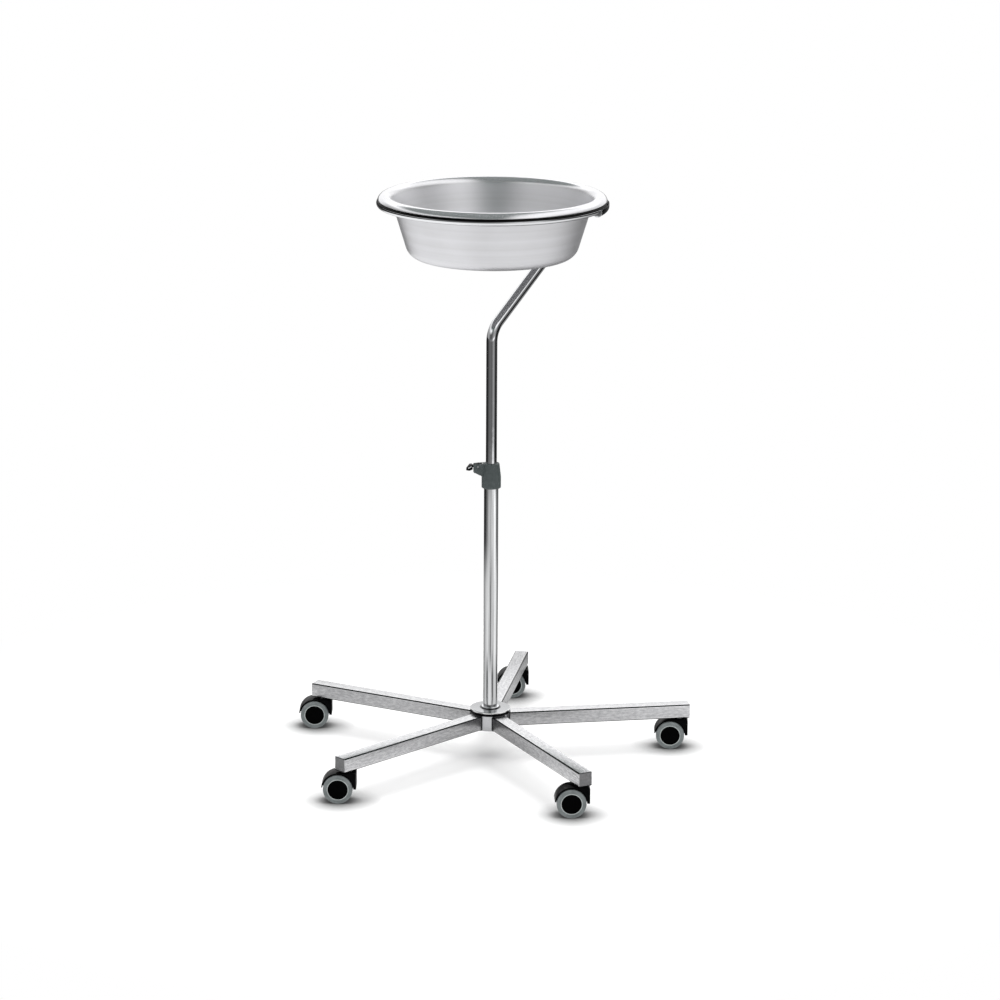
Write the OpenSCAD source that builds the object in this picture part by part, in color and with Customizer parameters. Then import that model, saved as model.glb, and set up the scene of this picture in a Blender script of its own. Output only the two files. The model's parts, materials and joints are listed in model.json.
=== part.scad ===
// Stand for one round bowl: five arms on castors, a column with a clamp, a bent mast and a ring.
// The origin is on the floor on the column's axis, with X to the right, Y to the back and Z up.
// All sizes are in millimetres.

/* [Base] */
// Distance from the column's axis to the end of an arm
arm_reach = 355; // [300:5:420]
// Direction of the first arm, turned from the X axis
arm_turn = 8.6; // [0:0.1:20]
// Width and height of an arm's square tube
arm_w = 25; // [23:1:30]
// Wall of an arm's square tube
arm_wall = 1.5; // [1:0.25:2]
// Outside corner radius of an arm's square tube
arm_corner = 2.5; // [2.2:0.1:4]
// Length of the plug in an arm's end
plug_depth = 8; // [5:0.5:9]
// Outside diameter of the hub
hub_d = 70; // [66:1:80]
// Height that the hub stands above the arms
hub_rise = 8; // [4:0.5:12]

/* [Castors] */
// Diameter of a wheel
wheel_d = 50; // [40:1:60]
// Width of one wheel
wheel_w = 11.5; // [10:0.5:16]
// Thickness of the tread round a wheel's core
tread_t = 8; // [6:0.5:10]
// Thickness of the web between a castor's two wheels
web_w = 13; // [12.5:0.5:16]
// Distance from the stem's axis to the axle
trail = 15.5; // [13:0.5:20]
// Distance from the stem's axis to the back of the housing
housing_back = 15.5; // [13:0.5:18]
// Thickness of the hood's cover over the wheels
hood_wall = 2.2; // [2:0.1:4]
// Distance that a wheel's face stands out from the hood's side
wheel_proud = 2.5; // [1:0.5:4]
// Diameter of the axle
axle_d = 6; // [5:0.5:8]
// Diameter of the stem in its socket
stem_d = 11; // [9:0.5:12]
// Diameter of the stem's lower end in the hood
stem_pin_d = 8; // [6:0.5:8.5]
// Thickness of the flange between the hood and the arm
flange_t = 1.8; // [1.5:0.1:4]
// Distance from the stem's axis to the arm's end
stem_inset = 16.8; // [16.6:0.1:30]

/* [Column] */
// Outside diameter of the column
column_d = 25; // [24:0.5:27]
// Wall of the column
column_wall = 1.5; // [1.2:0.1:1.6]
// Height of the column's top above the floor
column_top = 508; // [420:1:600]
// Height of the bright ring round the column's foot
foot_ring_h = 3; // [2:0.5:6]

/* [Clamp] */
// Height of the clamp
clamp_h = 43.5; // [41:0.5:50]
// Length of the column that the clamp grips
clamp_grip = 21.5; // [14:0.5:23]
// Wall of the clamp round the column
clamp_wall = 4.2; // [3.5:0.1:6]
// Distance from the column's axis to the end of the clamp's ear
ear_reach = 31; // [30.5:0.5:36]
// Width of the clamp's ear
ear_w = 16; // [14:1:18]
// Diameter of the lever's pin
lever_pin_d = 4; // [3:0.5:5]
// Length of the lever from its pin to the tip
lever_reach = 20.4; // [19:0.2:26]

/* [Mast] */
// Outside diameter of the mast
mast_d = 19; // [18:0.25:19.5]
// Wall of the mast
mast_wall = 1.5; // [1:0.1:2]
// Height above the floor where the mast's upright and slanting lines meet
bend_height = 763; // [740:1:800]
// Radius of the mast's two bends
bend_r = 40; // [30:1:50]
// Angle of the slanting part above the horizontal
slant = 36; // [32:0.5:42]
// Direction of the slanting part, turned from the X axis
mast_turn = 50; // [0:1:360]
// Height of the mast's lower end above the floor
mast_bottom = 262; // [200:1:300]
// Length of the bush on the mast's lower end
mast_bush_h = 40; // [20:1:60]

/* [Ring and bowl] */
// Height of the ring's centre above the floor
ring_height = 983; // [970:1:1060]
// Radius of the ring's centre line
ring_r = 190; // [180:1:210]
// Diameter of the ring's tube
ring_d = 12; // [10:0.5:13]
// Wall of the ring's tube
ring_wall = 1.5; // [1:0.1:2]
// Radius of the rounded rim, seen in section
rim_r = 12.6; // [11.5:0.1:13.5]
// Thickness of the bowl's sheet
sheet_t = 1; // [0.8:0.1:1.5]
// Depth of the bowl from its crest to its underside
bowl_depth = 108; // [90:1:130]
// Lean of the bowl's wall from the upright
bowl_lean = 17; // [10:0.5:22]
// Radius of the bowl's lower corner
bowl_corner = 26; // [10:1:34]
// Angle of the ring that the ring's joint covers
joint_angle = 27; // [20:1:40]

/* [Hidden] */
$fn = 48;
arm_count = 5;
sides = ["a", "b"];

// Clearances
run_fit = 0.1;
wheel_gap = 0.5;
hood_gap = 1.1;
swivel_gap = 0.5;
seat_gap = 0.3;
end_gap = 0.3;
overlap = 1;

// Castor
axle_z = wheel_d / 2;
hood_r = wheel_d / 2 + hood_gap + hood_wall;
hood_top = axle_z + hood_r;
arm_bottom = hood_top + swivel_gap + flange_t;
core_d = wheel_d - 2 * tread_t;
wheel_inner = web_w / 2 + wheel_gap;
wheel_face = wheel_inner + wheel_w;
hood_half = wheel_face - wheel_proud;
hood_lift = 3;
web_boss_wall = 5;
stem_reach = arm_reach - stem_inset;
stem_pin_drop = 3;
stem_pin_foot = axle_z - stem_pin_drop;
stem_boss_wall = 2.5;
stem_boss_floor = 3;
stem_boss_h = 10;
hood_round = 3;
tread_round = 2.5;
axle_stop = 3;
castor_turn = [178, 181, 180, 179, 182];

// Arm and hub
arm_top = arm_bottom + arm_w;
arm_mid = arm_bottom + arm_w / 2;
arm_inner = arm_w - 2 * arm_wall;
arm_inner_corner = max(arm_corner - arm_wall, 0.3);
hub_edge = 1;
hub_h = arm_w + hub_rise;
socket_wall = 1.5;
socket_d = stem_d + 2 * socket_wall;
socket_h = arm_w - arm_wall;
stem_room = 1.5;
plug_inset = 0.6;
plug_wall = 2.5;
flange_lip = 4.5;

// Column
column_bore = column_d - 2 * column_wall;
column_plug_h = 8;
column_plug_lip = 2;
column_plug_rim = 2;
foot_ring_wall = 3;
foot_ring_edge = 1;
bush_lip = 2;
bush_length = 40;

// Clamp, with the ear to the left
clamp_bottom = column_top - clamp_grip;
clamp_top = clamp_bottom + clamp_h;
clamp_r = column_d / 2 + clamp_wall;
clamp_slope = 2.6;
clamp_top_r = clamp_r - clamp_slope;
clamp_taper = 24;
clamp_round = 1.5;
ear_drop = 2;
ear_top = clamp_top - ear_drop;
ear_h = 16.5;
ear_slope = 1.8;
ear_bottom = ear_top - ear_h;
ear_low = ear_bottom - ear_slope;
ear_round = 4;
ear_root = 4;
ear_bed = 0.5;
ear_edge = 1.5;
pin_inset = 8;
pin_drop = 3.6;
lever_x = pin_inset - ear_reach;
lever_z = ear_top - pin_drop;
cam_r = 5.6;
cam_throw = 0.7;
slot_w = 8.6;
slot_gap = 0.3;
grip_side = 1;
grip_w = ear_w - 2 * grip_side;
bar_start = 7;
bar_z = -1.4;
bar_h = 3.8;
strip_start = 4.2;
strip_z = -3.5;
strip_tilt = 32;
strip_l = 7;
strip_t = 2.3;
strip_w = grip_w / 4;
grip_corners = [[6.9, 2.9], [5.6, 2.4], [0.4, -4.4], [0, -5.2], [0.8, -6.2], [5.6, -7], [10.8, -5.2],
    [11.6, -3.6], [10.4, 1], [10.2, 2.4], [9.4, 2.9]];
shoe_w = 7;
shoe_h = 10;
shoe_wrap = 1.9;
mast_r = mast_d / 2;

// Mast
mast_bore = mast_d - 2 * mast_wall;
bend_angle = 90 - slant;
bend_swell = 0.05;
bend_lap = 1;
bend_reach = bend_r * tan(bend_angle / 2);
slant_length = ring_r / cos(slant);
riser_foot = bend_height + ring_r * tan(slant);
mast_plug_lip = 3;
mast_plug_h = 12;
keeper_h = 2;
plug_room = 0.5;

// Bowl, with the rim's arc resting on the ring
rim_inner_r = rim_r - sheet_t;
rim_edge_angle = 18;
rim_back = 8;
rim_centre_r = ring_r - rim_back;
edge_dr = rim_centre_r + rim_inner_r * cos(rim_edge_angle) - ring_r;
rim_seat = sqrt(pow(ring_d / 2 + seat_gap, 2) - pow(edge_dr, 2));
rim_z = ring_height + rim_seat - rim_inner_r * sin(rim_edge_angle);
rim_crest = rim_z + rim_r;
bowl_bottom = rim_crest - bowl_depth;

// Ring joint
ring_gap_angle = 2;
joint_turn = -9;
joint_wall = 1.1;
joint_drop = 4;
joint_lip = 1.5;
clip_angle = 0.7;
clip_wall = 0.7;

base_nodes = ["hub", "arm_plugs", "stem_sockets", "castor_stems", "column", "column_ring", "column_plug",
    "column_bush", "clamp_body", "clamp_shoe", "lever_pin", "clamp_lever", "lever_strip"];
mast_nodes = ["mast_bush", "mast", "mast_plug", "mast_keeper", "bowl_ring", "ring_joint", "ring_clip",
    "bowl"];
arm_nodes = [for (i = [1:arm_count]) str("arm_", i)];
castor_nodes = [for (i = [1:arm_count]) each [str("castor_hood_", i), str("castor_axle_", i)]];
wheel_nodes = [for (i = [1:arm_count]) for (s = sides) each [str("wheel_core_", i, "_", s),
    str("wheel_tread_", i, "_", s)]];

// Points of an arc round (cx, cy), from angle a0 to angle a1
function arc(cx, cy, r, a0, a1, n = 8) =
    [for (k = [0:n]) let (a = a0 + (a1 - a0) * k / n) [cx + r * cos(a), cy + r * sin(a)]];

// Corners of a square with rounded corners, centred
function rounded(w, r) = concat(
    arc(w / 2 - r, w / 2 - r, r, 0, 90, 5), arc(r - w / 2, w / 2 - r, r, 90, 180, 5),
    arc(r - w / 2, r - w / 2, r, 180, 270, 5), arc(w / 2 - r, r - w / 2, r, 270, 360, 5));

// Place at arm i's stem, with X along the arm
module at_arm(i) rotate([0, 0, arm_turn + (i - 1) * 360 / arm_count]) children();

module at_stem(i) at_arm(i) translate([stem_reach, 0, 0]) children();

// Place at castor i, with X along its trail
module at_castor(i) {
    a = arm_turn + (i - 1) * 360 / arm_count;
    translate([stem_reach * cos(a), stem_reach * sin(a), 0]) rotate([0, 0, castor_turn[i - 1]]) children();
}

// Place at castor i's axle, with Z out along the axle to side a or b
module at_axle(i, side) at_castor(i) translate([trail, 0, axle_z])
    rotate([side == "a" ? 90 : -90, 0, 0]) children();

module tube(outer, inner, h) difference() {
    cylinder(d = outer, h = h);
    translate([0, 0, -overlap]) cylinder(d = inner, h = h + 2 * overlap);
}

module hub() color("silver") translate([0, 0, arm_bottom]) difference() {
    rotate_extrude() polygon([[0, 0], [hub_d / 2 - hub_edge, 0], [hub_d / 2, hub_edge],
        [hub_d / 2, hub_h - hub_edge], [hub_d / 2 - hub_edge, hub_h], [0, hub_h]]);
    translate([0, 0, -overlap]) cylinder(d = column_d, h = hub_h + 2 * overlap);
}

module arm(i) color("gainsboro") at_arm(i) difference() {
    translate([0, 0, arm_mid]) rotate([90, 0, 90]) linear_extrude(arm_reach) difference() {
        polygon(rounded(arm_w, arm_corner));
        polygon(rounded(arm_inner, arm_inner_corner));
    }
    translate([0, 0, arm_bottom - overlap]) cylinder(d = hub_d, h = arm_w + 2 * overlap);
    translate([stem_reach, 0, arm_bottom - overlap]) cylinder(d = socket_d, h = arm_wall + 2 * overlap);
}

module arm_plug() difference() {
    translate([arm_reach - plug_inset - plug_depth, 0, arm_mid]) rotate([90, 0, 90])
        linear_extrude(plug_depth) polygon(rounded(arm_inner, arm_inner_corner));
    translate([arm_reach - plug_inset - plug_depth - overlap, 0, arm_mid]) rotate([90, 0, 90])
        linear_extrude(plug_depth - plug_wall + overlap)
            polygon(rounded(arm_inner - 2 * plug_wall, arm_inner_corner));
}

module arm_plugs() color("dimgray") for (i = [1:arm_count]) at_arm(i) arm_plug();

module stem_sockets() color("silver") for (i = [1:arm_count]) at_stem(i)
    translate([0, 0, arm_bottom]) tube(socket_d, stem_d, socket_h);

module castor_stem() {
    translate([0, 0, arm_bottom]) cylinder(d = stem_d, h = socket_h - stem_room);
    translate([0, 0, arm_bottom - flange_t]) cylinder(d = stem_d + 2 * flange_lip, h = flange_t);
    translate([0, 0, stem_pin_foot]) cylinder(d = stem_pin_d, h = arm_bottom - flange_t - stem_pin_foot);
}

module castor_stems() color("gray") for (i = [1:arm_count]) at_stem(i) castor_stem();

module column() color("silver") translate([0, 0, arm_bottom])
    tube(column_d, column_bore, column_top - arm_bottom);

module column_ring() color("silver") translate([0, 0, arm_bottom + hub_h]) difference() {
    rotate_extrude() polygon([[0, 0], [column_d / 2 + foot_ring_wall, 0],
        [column_d / 2 + foot_ring_wall, foot_ring_h - foot_ring_edge],
        [column_d / 2 + foot_ring_wall - foot_ring_edge, foot_ring_h], [0, foot_ring_h]]);
    translate([0, 0, -overlap]) cylinder(d = column_d, h = foot_ring_h + 2 * overlap);
}

module column_plug() color("dimgray") translate([0, 0, arm_bottom]) {
    cylinder(d = column_bore, h = column_plug_h);
    translate([0, 0, -column_plug_lip]) cylinder(d = column_d + 2 * column_plug_rim, h = column_plug_lip);
}

module column_bush() color("dimgray") difference() {
    union() {
        translate([0, 0, column_top - bush_length]) cylinder(d = column_bore, h = bush_length);
        translate([0, 0, column_top]) cylinder(d = column_d, h = bush_lip);
    }
    translate([0, 0, column_top - bush_length - overlap])
        cylinder(d = mast_d + 2 * run_fit, h = bush_length + bush_lip + 2 * overlap);
}

// Outline of the ear, in X and Z, from the column's axis to the ear's end
module ear_outline() polygon(concat(
    [[0, ear_low - ear_root], [ear_root - clamp_r, ear_low - ear_root]],
    arc(ear_bed - clamp_r - ear_root, ear_low - ear_root, ear_root, 0, 90),
    arc(ear_round - ear_reach, ear_bottom + ear_slope + ear_round, ear_round, 270, 180),
    [[-ear_reach, ear_top - ear_edge], [ear_edge - ear_reach, ear_top], [-clamp_top_r, clamp_top - ear_bed],
        [0, clamp_top - ear_bed]]));

module clamp_body() color("darkslategray") difference() {
    union() {
        rotate_extrude() polygon([[0, clamp_bottom], [clamp_r - clamp_round, clamp_bottom],
            [clamp_r, clamp_bottom + clamp_round], [clamp_r, clamp_top - clamp_taper],
            [clamp_top_r, clamp_top - clamp_round], [clamp_top_r - clamp_round, clamp_top],
            [0, clamp_top]]);
        translate([0, ear_w / 2, 0]) rotate([90, 0, 0]) linear_extrude(ear_w) ear_outline();
    }
    translate([0, 0, clamp_bottom - overlap])
        cylinder(d = column_d, h = clamp_grip + bush_lip + overlap);
    translate([0, 0, clamp_bottom]) cylinder(d = mast_d + 2 * run_fit, h = clamp_h + overlap);
    lever_slot();
    shoe_window();
    translate([lever_x, 0, lever_z]) rotate([90, 0, 0])
        cylinder(d = lever_pin_d, h = ear_w + 2 * overlap, center = true);
}

// Slot for the lever, open at the ear's end and top
module lever_slot() translate([-ear_reach - overlap, -slot_w / 2, lever_z - cam_r - cam_throw - slot_gap])
    cube([overlap + ear_reach + lever_x + cam_r + cam_throw + slot_gap, slot_w, ear_h]);

// Window for the shoe, from the slot to the mast's bore
module shoe_window() translate([lever_x, -shoe_w / 2, lever_z - shoe_h / 2])
    cube([-lever_x, shoe_w, shoe_h]);

module clamp_shoe() color("gray") difference() {
    translate([lever_x + cam_throw + cam_r + end_gap, -shoe_w / 2, lever_z - shoe_h / 2])
        cube([-lever_x - cam_throw - cam_r - end_gap - mast_r + shoe_wrap, shoe_w, shoe_h]);
    translate([0, 0, lever_z - shoe_h]) cylinder(r = mast_r + seat_gap, h = 2 * shoe_h);
}

module lever_pin() color("gray") translate([lever_x, 0, lever_z]) rotate([90, 0, 0])
    cylinder(d = lever_pin_d, h = ear_w, center = true);

// Outline of the lever's grip, in X and Z from the pin
module grip_outline() translate([-lever_reach, 0]) polygon(grip_corners);

module clamp_lever() color("black") translate([lever_x, 0, lever_z]) difference() {
    union() {
        translate([cam_throw, 0, 0]) rotate([90, 0, 0])
            cylinder(r = cam_r, h = slot_w - 2 * slot_gap, center = true);
        translate([bar_start - lever_reach, slot_gap - slot_w / 2, bar_z])
            cube([lever_reach - bar_start, slot_w - 2 * slot_gap, bar_h]);
        translate([0, grip_w / 2, 0]) rotate([90, 0, 0]) linear_extrude(grip_w) grip_outline();
    }
    rotate([90, 0, 0]) cylinder(d = lever_pin_d + 2 * run_fit, h = ear_w + 2 * overlap, center = true);
    strip_seat();
}

// Recess for the bright strip across the grip's face
module strip_seat() translate([strip_start - lever_reach, -grip_w / 2 - overlap, strip_z])
    rotate([0, -strip_tilt, 0]) cube([strip_l, strip_w + overlap, strip_t]);

module lever_strip() color("silver") translate([lever_x, 0, lever_z]) intersection() {
    strip_seat();
    translate([-lever_reach, -grip_w / 2, -lever_reach]) cube([lever_reach, grip_w / 2, 2 * lever_reach]);
}

module mast_bush() color("dimgray") translate([0, 0, mast_bottom + end_gap])
    tube(column_bore - 2 * run_fit, mast_d + 2 * run_fit, mast_bush_h);

// A bend of the mast's tube, whose wall swells a little where it is bent
module mast_bend() rotate_extrude(angle = bend_angle) translate([bend_r, 0]) difference() {
    circle(d = mast_d + 2 * bend_swell);
    circle(d = mast_bore - 2 * bend_swell);
}

module mast_tube(h) tube(mast_d, mast_bore, h);

// The mast's tube: upright, bent out along the slant, and bent up again to the ring
module mast_path() rotate([0, 0, mast_turn]) {
    translate([0, 0, mast_bottom]) mast_tube(bend_height - bend_reach + bend_lap - mast_bottom);
    translate([bend_r, 0, bend_height - bend_reach]) rotate([90, 0, 180]) mast_bend();
    translate([0, 0, bend_height]) rotate([0, bend_angle, 0]) translate([0, 0, bend_reach - bend_lap])
        mast_tube(slant_length - 2 * bend_reach + 2 * bend_lap);
    translate([ring_r - bend_r, 0, riser_foot + bend_reach]) rotate([-90, 0, 0]) mast_bend();
    translate([ring_r, 0, riser_foot + bend_reach - bend_lap])
        mast_tube(ring_height - riser_foot - bend_reach + bend_lap);
}

module ring_solid(d) translate([0, 0, ring_height]) rotate_extrude($fn = 96)
    translate([ring_r, 0]) circle(d = d);

module mast() color("lightgray") difference() {
    mast_path();
    ring_solid(ring_d);
}

module mast_plug() color("dimgray") {
    translate([0, 0, mast_bottom - mast_plug_lip])
        cylinder(d = column_bore - 2 * plug_room, h = mast_plug_lip);
    translate([0, 0, mast_bottom]) cylinder(d = mast_bore, h = mast_plug_h);
}

module mast_keeper() color("gray") translate([0, 0, mast_bottom + mast_bush_h + 2 * end_gap])
    tube(column_bore - 2 * plug_room, mast_d, keeper_h);

module bowl_ring() color("lightgray") translate([0, 0, ring_height])
    rotate([0, 0, joint_turn + ring_gap_angle / 2]) rotate_extrude(angle = 360 - ring_gap_angle, $fn = 96)
        translate([ring_r, 0]) difference() {
            circle(d = ring_d);
            circle(d = ring_d - 2 * ring_wall);
        }

// Section of the ring's joint: open at the top, hanging below the ring
module joint_section(wall) difference() {
    union() {
        translate([0, -joint_drop]) circle(r = ring_d / 2 + wall);
        translate([-ring_d / 2 - wall, -joint_drop]) square([ring_d + 2 * wall, joint_drop + joint_lip]);
    }
    circle(d = ring_d);
    translate([-ring_d / 2, 0]) square([ring_d, ring_d]);
}

module ring_joint() color("black") translate([0, 0, ring_height])
    rotate([0, 0, joint_turn - joint_angle / 2]) rotate_extrude(angle = joint_angle, $fn = 96)
        translate([ring_r, 0]) joint_section(joint_wall);

module ring_clip() color("silver") translate([0, 0, ring_height])
    rotate([0, 0, joint_turn - joint_angle / 2 - clip_angle]) rotate_extrude(angle = clip_angle, $fn = 96)
        translate([ring_r, 0]) joint_section(joint_wall + clip_wall);

// Half section of the bowl, from its floor's centre to the rim's edge
module bowl_section() {
    wall_angle = 180 - bowl_lean;
    top_r = rim_centre_r + rim_r * cos(wall_angle);
    top_z = rim_z + rim_r * sin(wall_angle);
    out_r = top_r + sheet_t * cos(bowl_lean);
    out_z = top_z - sheet_t * sin(bowl_lean);
    foot_r = out_r - (out_z - bowl_bottom) * tan(bowl_lean) - bowl_corner * tan(45 - bowl_lean / 2);
    corner_z = bowl_bottom + bowl_corner;
    polygon(concat([[0, bowl_bottom]],
        arc(foot_r, corner_z, bowl_corner, -90, -bowl_lean, 12),
        arc(rim_centre_r, rim_z, rim_inner_r, wall_angle, rim_edge_angle, 20),
        arc(rim_centre_r, rim_z, rim_r, rim_edge_angle, wall_angle, 20),
        arc(foot_r, corner_z, bowl_corner - sheet_t, -bowl_lean, -90, 12),
        [[0, bowl_bottom + sheet_t]]));
}

module bowl() color("gainsboro") rotate_extrude($fn = 96) bowl_section();

// Side view of a castor's hood, with the stem's axis at X 0
module hood_outline() union() {
    translate([trail, axle_z]) circle(r = hood_r);
    translate([-housing_back, axle_z]) square([housing_back + trail, hood_r - hood_round]);
    translate([hood_round - housing_back, axle_z]) square([housing_back + trail - hood_round, hood_r]);
    translate([hood_round - housing_back, hood_top - hood_round]) circle(r = hood_round);
}

// Side view of the hood without its lower half, whose end over the trail stands a little higher
module hood_shell() difference() {
    hood_outline();
    translate([trail - hood_r - overlap, axle_z - hood_r - overlap])
        square([2 * (hood_r + overlap), hood_r + overlap]);
    translate([trail, axle_z - overlap]) square([hood_r + overlap, hood_lift + overlap]);
}

module hood_cover() rotate([90, 0, 0]) linear_extrude(2 * hood_half, center = true) difference() {
    hood_shell();
    translate([trail, axle_z]) circle(r = wheel_d / 2 + hood_gap);
}

module hood_web() rotate([90, 0, 0]) linear_extrude(web_w, center = true) difference() {
    union() {
        hood_shell();
        translate([trail, axle_z]) circle(r = axle_d / 2 + web_boss_wall);
        translate([-stem_pin_d / 2 - stem_boss_wall, stem_pin_foot - stem_boss_floor])
            square([trail + stem_pin_d / 2 + stem_boss_wall, stem_boss_h]);
    }
    translate([trail, axle_z]) circle(d = axle_d);
}

module castor_hood(i) color("black") at_castor(i) difference() {
    union() {
        hood_cover();
        hood_web();
    }
    translate([0, 0, stem_pin_foot - end_gap])
        cylinder(d = stem_pin_d + 2 * run_fit, h = hood_top - stem_pin_foot + end_gap + overlap);
}

module castor_axle(i) color("gray") at_castor(i) translate([trail, 0, axle_z]) rotate([90, 0, 0])
    cylinder(d = axle_d, h = 2 * (wheel_face - axle_stop - end_gap), center = true);

module wheel_core(i, side) color("black") at_axle(i, side) translate([0, 0, wheel_inner]) difference() {
    cylinder(d = core_d, h = wheel_w);
    translate([0, 0, -overlap])
        cylinder(d = axle_d + 2 * run_fit, h = wheel_w - axle_stop + overlap);
}

module wheel_tread(i, side) color("gray") at_axle(i, side) translate([0, 0, wheel_inner]) rotate_extrude()
    polygon(concat([[core_d / 2, 0]], arc(wheel_d / 2 - tread_round, tread_round, tread_round, -90, 0, 6),
        arc(wheel_d / 2 - tread_round, wheel_w - tread_round, tread_round, 0, 90, 6),
        [[core_d / 2, wheel_w]]));

hub();
arm_plugs();
stem_sockets();
castor_stems();
column();
column_ring();
column_plug();
column_bush();
clamp_body();
clamp_shoe();
lever_pin();
clamp_lever();
lever_strip();
mast_bush();
mast();
mast_plug();
mast_keeper();
bowl_ring();
ring_joint();
ring_clip();
bowl();
for (i = [1:arm_count]) arm(i);
for (i = [1:arm_count]) castor_hood(i);
for (i = [1:arm_count]) castor_axle(i);
for (i = [1:arm_count], s = sides)
    wheel_core(i, s);
for (i = [1:arm_count], s = sides)
    wheel_tread(i, s);
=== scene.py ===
# %% [markdown]
# # A bowl stand on castors
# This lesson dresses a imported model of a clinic's bowl stand: steel tubes, a pressed bowl, a plastic
# clamp and five castors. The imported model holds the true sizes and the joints. Here each visible piece is
# modelled again with rounded edges and fine detail, and gets the finish of the real material.

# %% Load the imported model
import json
from math import asin, atan2, cos, degrees, pi, radians, sin, tan

import bmesh
import bpy
from mathutils import Matrix, Vector


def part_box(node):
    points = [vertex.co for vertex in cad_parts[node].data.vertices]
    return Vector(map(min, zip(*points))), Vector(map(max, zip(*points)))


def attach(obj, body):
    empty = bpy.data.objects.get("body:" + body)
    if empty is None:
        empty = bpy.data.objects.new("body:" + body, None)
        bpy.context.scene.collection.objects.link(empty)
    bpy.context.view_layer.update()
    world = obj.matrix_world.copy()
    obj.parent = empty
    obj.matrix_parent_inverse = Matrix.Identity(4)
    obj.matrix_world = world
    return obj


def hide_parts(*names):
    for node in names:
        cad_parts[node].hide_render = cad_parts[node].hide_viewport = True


MM = 0.001
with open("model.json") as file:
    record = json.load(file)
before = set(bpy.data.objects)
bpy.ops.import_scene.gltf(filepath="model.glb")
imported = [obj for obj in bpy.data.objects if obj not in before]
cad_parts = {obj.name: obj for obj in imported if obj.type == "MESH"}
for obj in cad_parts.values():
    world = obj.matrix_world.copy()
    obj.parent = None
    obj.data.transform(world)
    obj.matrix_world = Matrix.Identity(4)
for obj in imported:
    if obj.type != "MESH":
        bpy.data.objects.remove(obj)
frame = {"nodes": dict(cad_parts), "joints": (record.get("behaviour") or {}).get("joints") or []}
cad_nodes = frame["nodes"]
joints = {joint["name"]: joint for joint in frame["joints"]}
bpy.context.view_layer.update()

# %% [markdown]
# ## The camera
# The photograph was taken from about 5.6 m away with a long lens, from above the bowl and looking down at
# it by 15 degrees. A long lens keeps the upright tubes nearly parallel. The turn about the line of sight
# is small, but it is seen at the ends of the arms.

# %% Camera
CAMERA_PLACE = Vector((0, -5.6, 1.9618))
CAMERA_DOWN = radians(14.974)
CAMERA_YAW = radians(-0.156)
CAMERA_ROLL = radians(0.3)
LENS_MM = 120.96

camera = bpy.data.objects.new("photo_camera", bpy.data.cameras.new("photo_camera"))
bpy.context.scene.collection.objects.link(camera)
camera.data.lens = LENS_MM
camera.data.sensor_width = 36
camera.data.clip_end = 60
camera.matrix_world = (Matrix.Translation(CAMERA_PLACE) @ Matrix.Rotation(CAMERA_YAW, 4, "Z")
                       @ Matrix.Rotation(pi / 2 - CAMERA_DOWN, 4, "X") @ Matrix.Rotation(CAMERA_ROLL, 4, "Z"))
bpy.context.scene.camera = camera
bpy.context.scene.view_settings.view_transform = "Standard"
print("camera lens:", LENS_MM, "mm")

# %% [markdown]
# ## Helpers for nodes
# Colours are written as sRGB hex values, as a colour picker shows them, and one function turns them to the
# linear numbers that the shader works in. Another adds a node with its settings and its links, and a third
# starts a finish from the typical numbers of the real material.


# %% Node helpers
def linear(hex_colour):
    """The linear red, green, blue and alpha of an sRGB colour such as #c8c9cb."""
    channels = [int(hex_colour[k:k + 2], 16) / 255 for k in (1, 3, 5)]
    return [c / 12.92 if c <= 0.04045 else ((c + 0.055) / 1.055) ** 2.4 for c in channels] + [1.0]


def set_stops(ramp, stops):
    """Give a colour ramp its stops: pairs of a place from 0 to 1 and a grey level or a hex colour."""
    elements = ramp.color_ramp.elements
    while len(elements) < len(stops):
        elements.new(1.0)
    for element, (place, tone) in zip(elements, stops):
        element.position = place
        element.color = linear(tone) if isinstance(tone, str) else (tone, tone, tone, 1)


def plug_in(tree, node, inputs):
    """Give inputs a value, another node's output, or a node, which means its first output in use."""
    for name, value in inputs.items():
        if isinstance(value, bpy.types.Node):
            value = next(output for output in value.outputs if output.enabled)
        if isinstance(value, bpy.types.NodeSocket):
            tree.links.new(value, node.inputs[name])
        else:
            node.inputs[name].default_value = value


def add_node(tree, kind, inputs=None, stops=(), **settings):
    """Add a node, with stops if it is a colour ramp. ShaderNode, which starts every kind, is left out."""
    node = tree.nodes.new("ShaderNode" + kind)
    for name, value in settings.items():
        setattr(node, name, value)
    plug_in(tree, node, inputs or {})
    if stops:
        set_stops(node, stops)
    return node


def new_finish(name, colour, metallic, roughness):
    """Start a finish. It gives back the material, its node tree and its main shader."""
    finish = bpy.data.materials.new(name)
    finish.use_nodes = True
    shader = finish.node_tree.nodes["Principled BSDF"]
    plug_in(finish.node_tree, shader,
            {"Base Color": linear(colour), "Metallic": metallic, "Roughness": roughness})
    return finish, finish.node_tree, shader


# %% [markdown]
# ## The studio
# Polished steel shows nothing but its surroundings, so the studio is drawn before any metal. The object
# stands on white paper in an even light. What the metal sees is a lit strip at the right of the camera, a
# grey room behind the camera and dark flags at both sides, which draw the black lines down the tubes.
# Above the horizon the back wall is bright, and two soft boxes hang over the left and the right side, with
# a grey gap between them that greys the middle of the bowl's rim. Right overhead the room is dark to the
# left, which darkens the slanted mast's upper side. The light that falls on the object, and the white that
# the camera sees, stay plain.
#
# A direction's turn from the camera's side is worked out with an arctangent, and a colour ramp says how
# bright the room is there. The ramp runs from -180 to 180 degrees, with the camera at 0. A gain lets its
# white end shine brighter than paper. The soft boxes and the dark overhead are ramps from left, -1, to
# right, 1.

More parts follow.
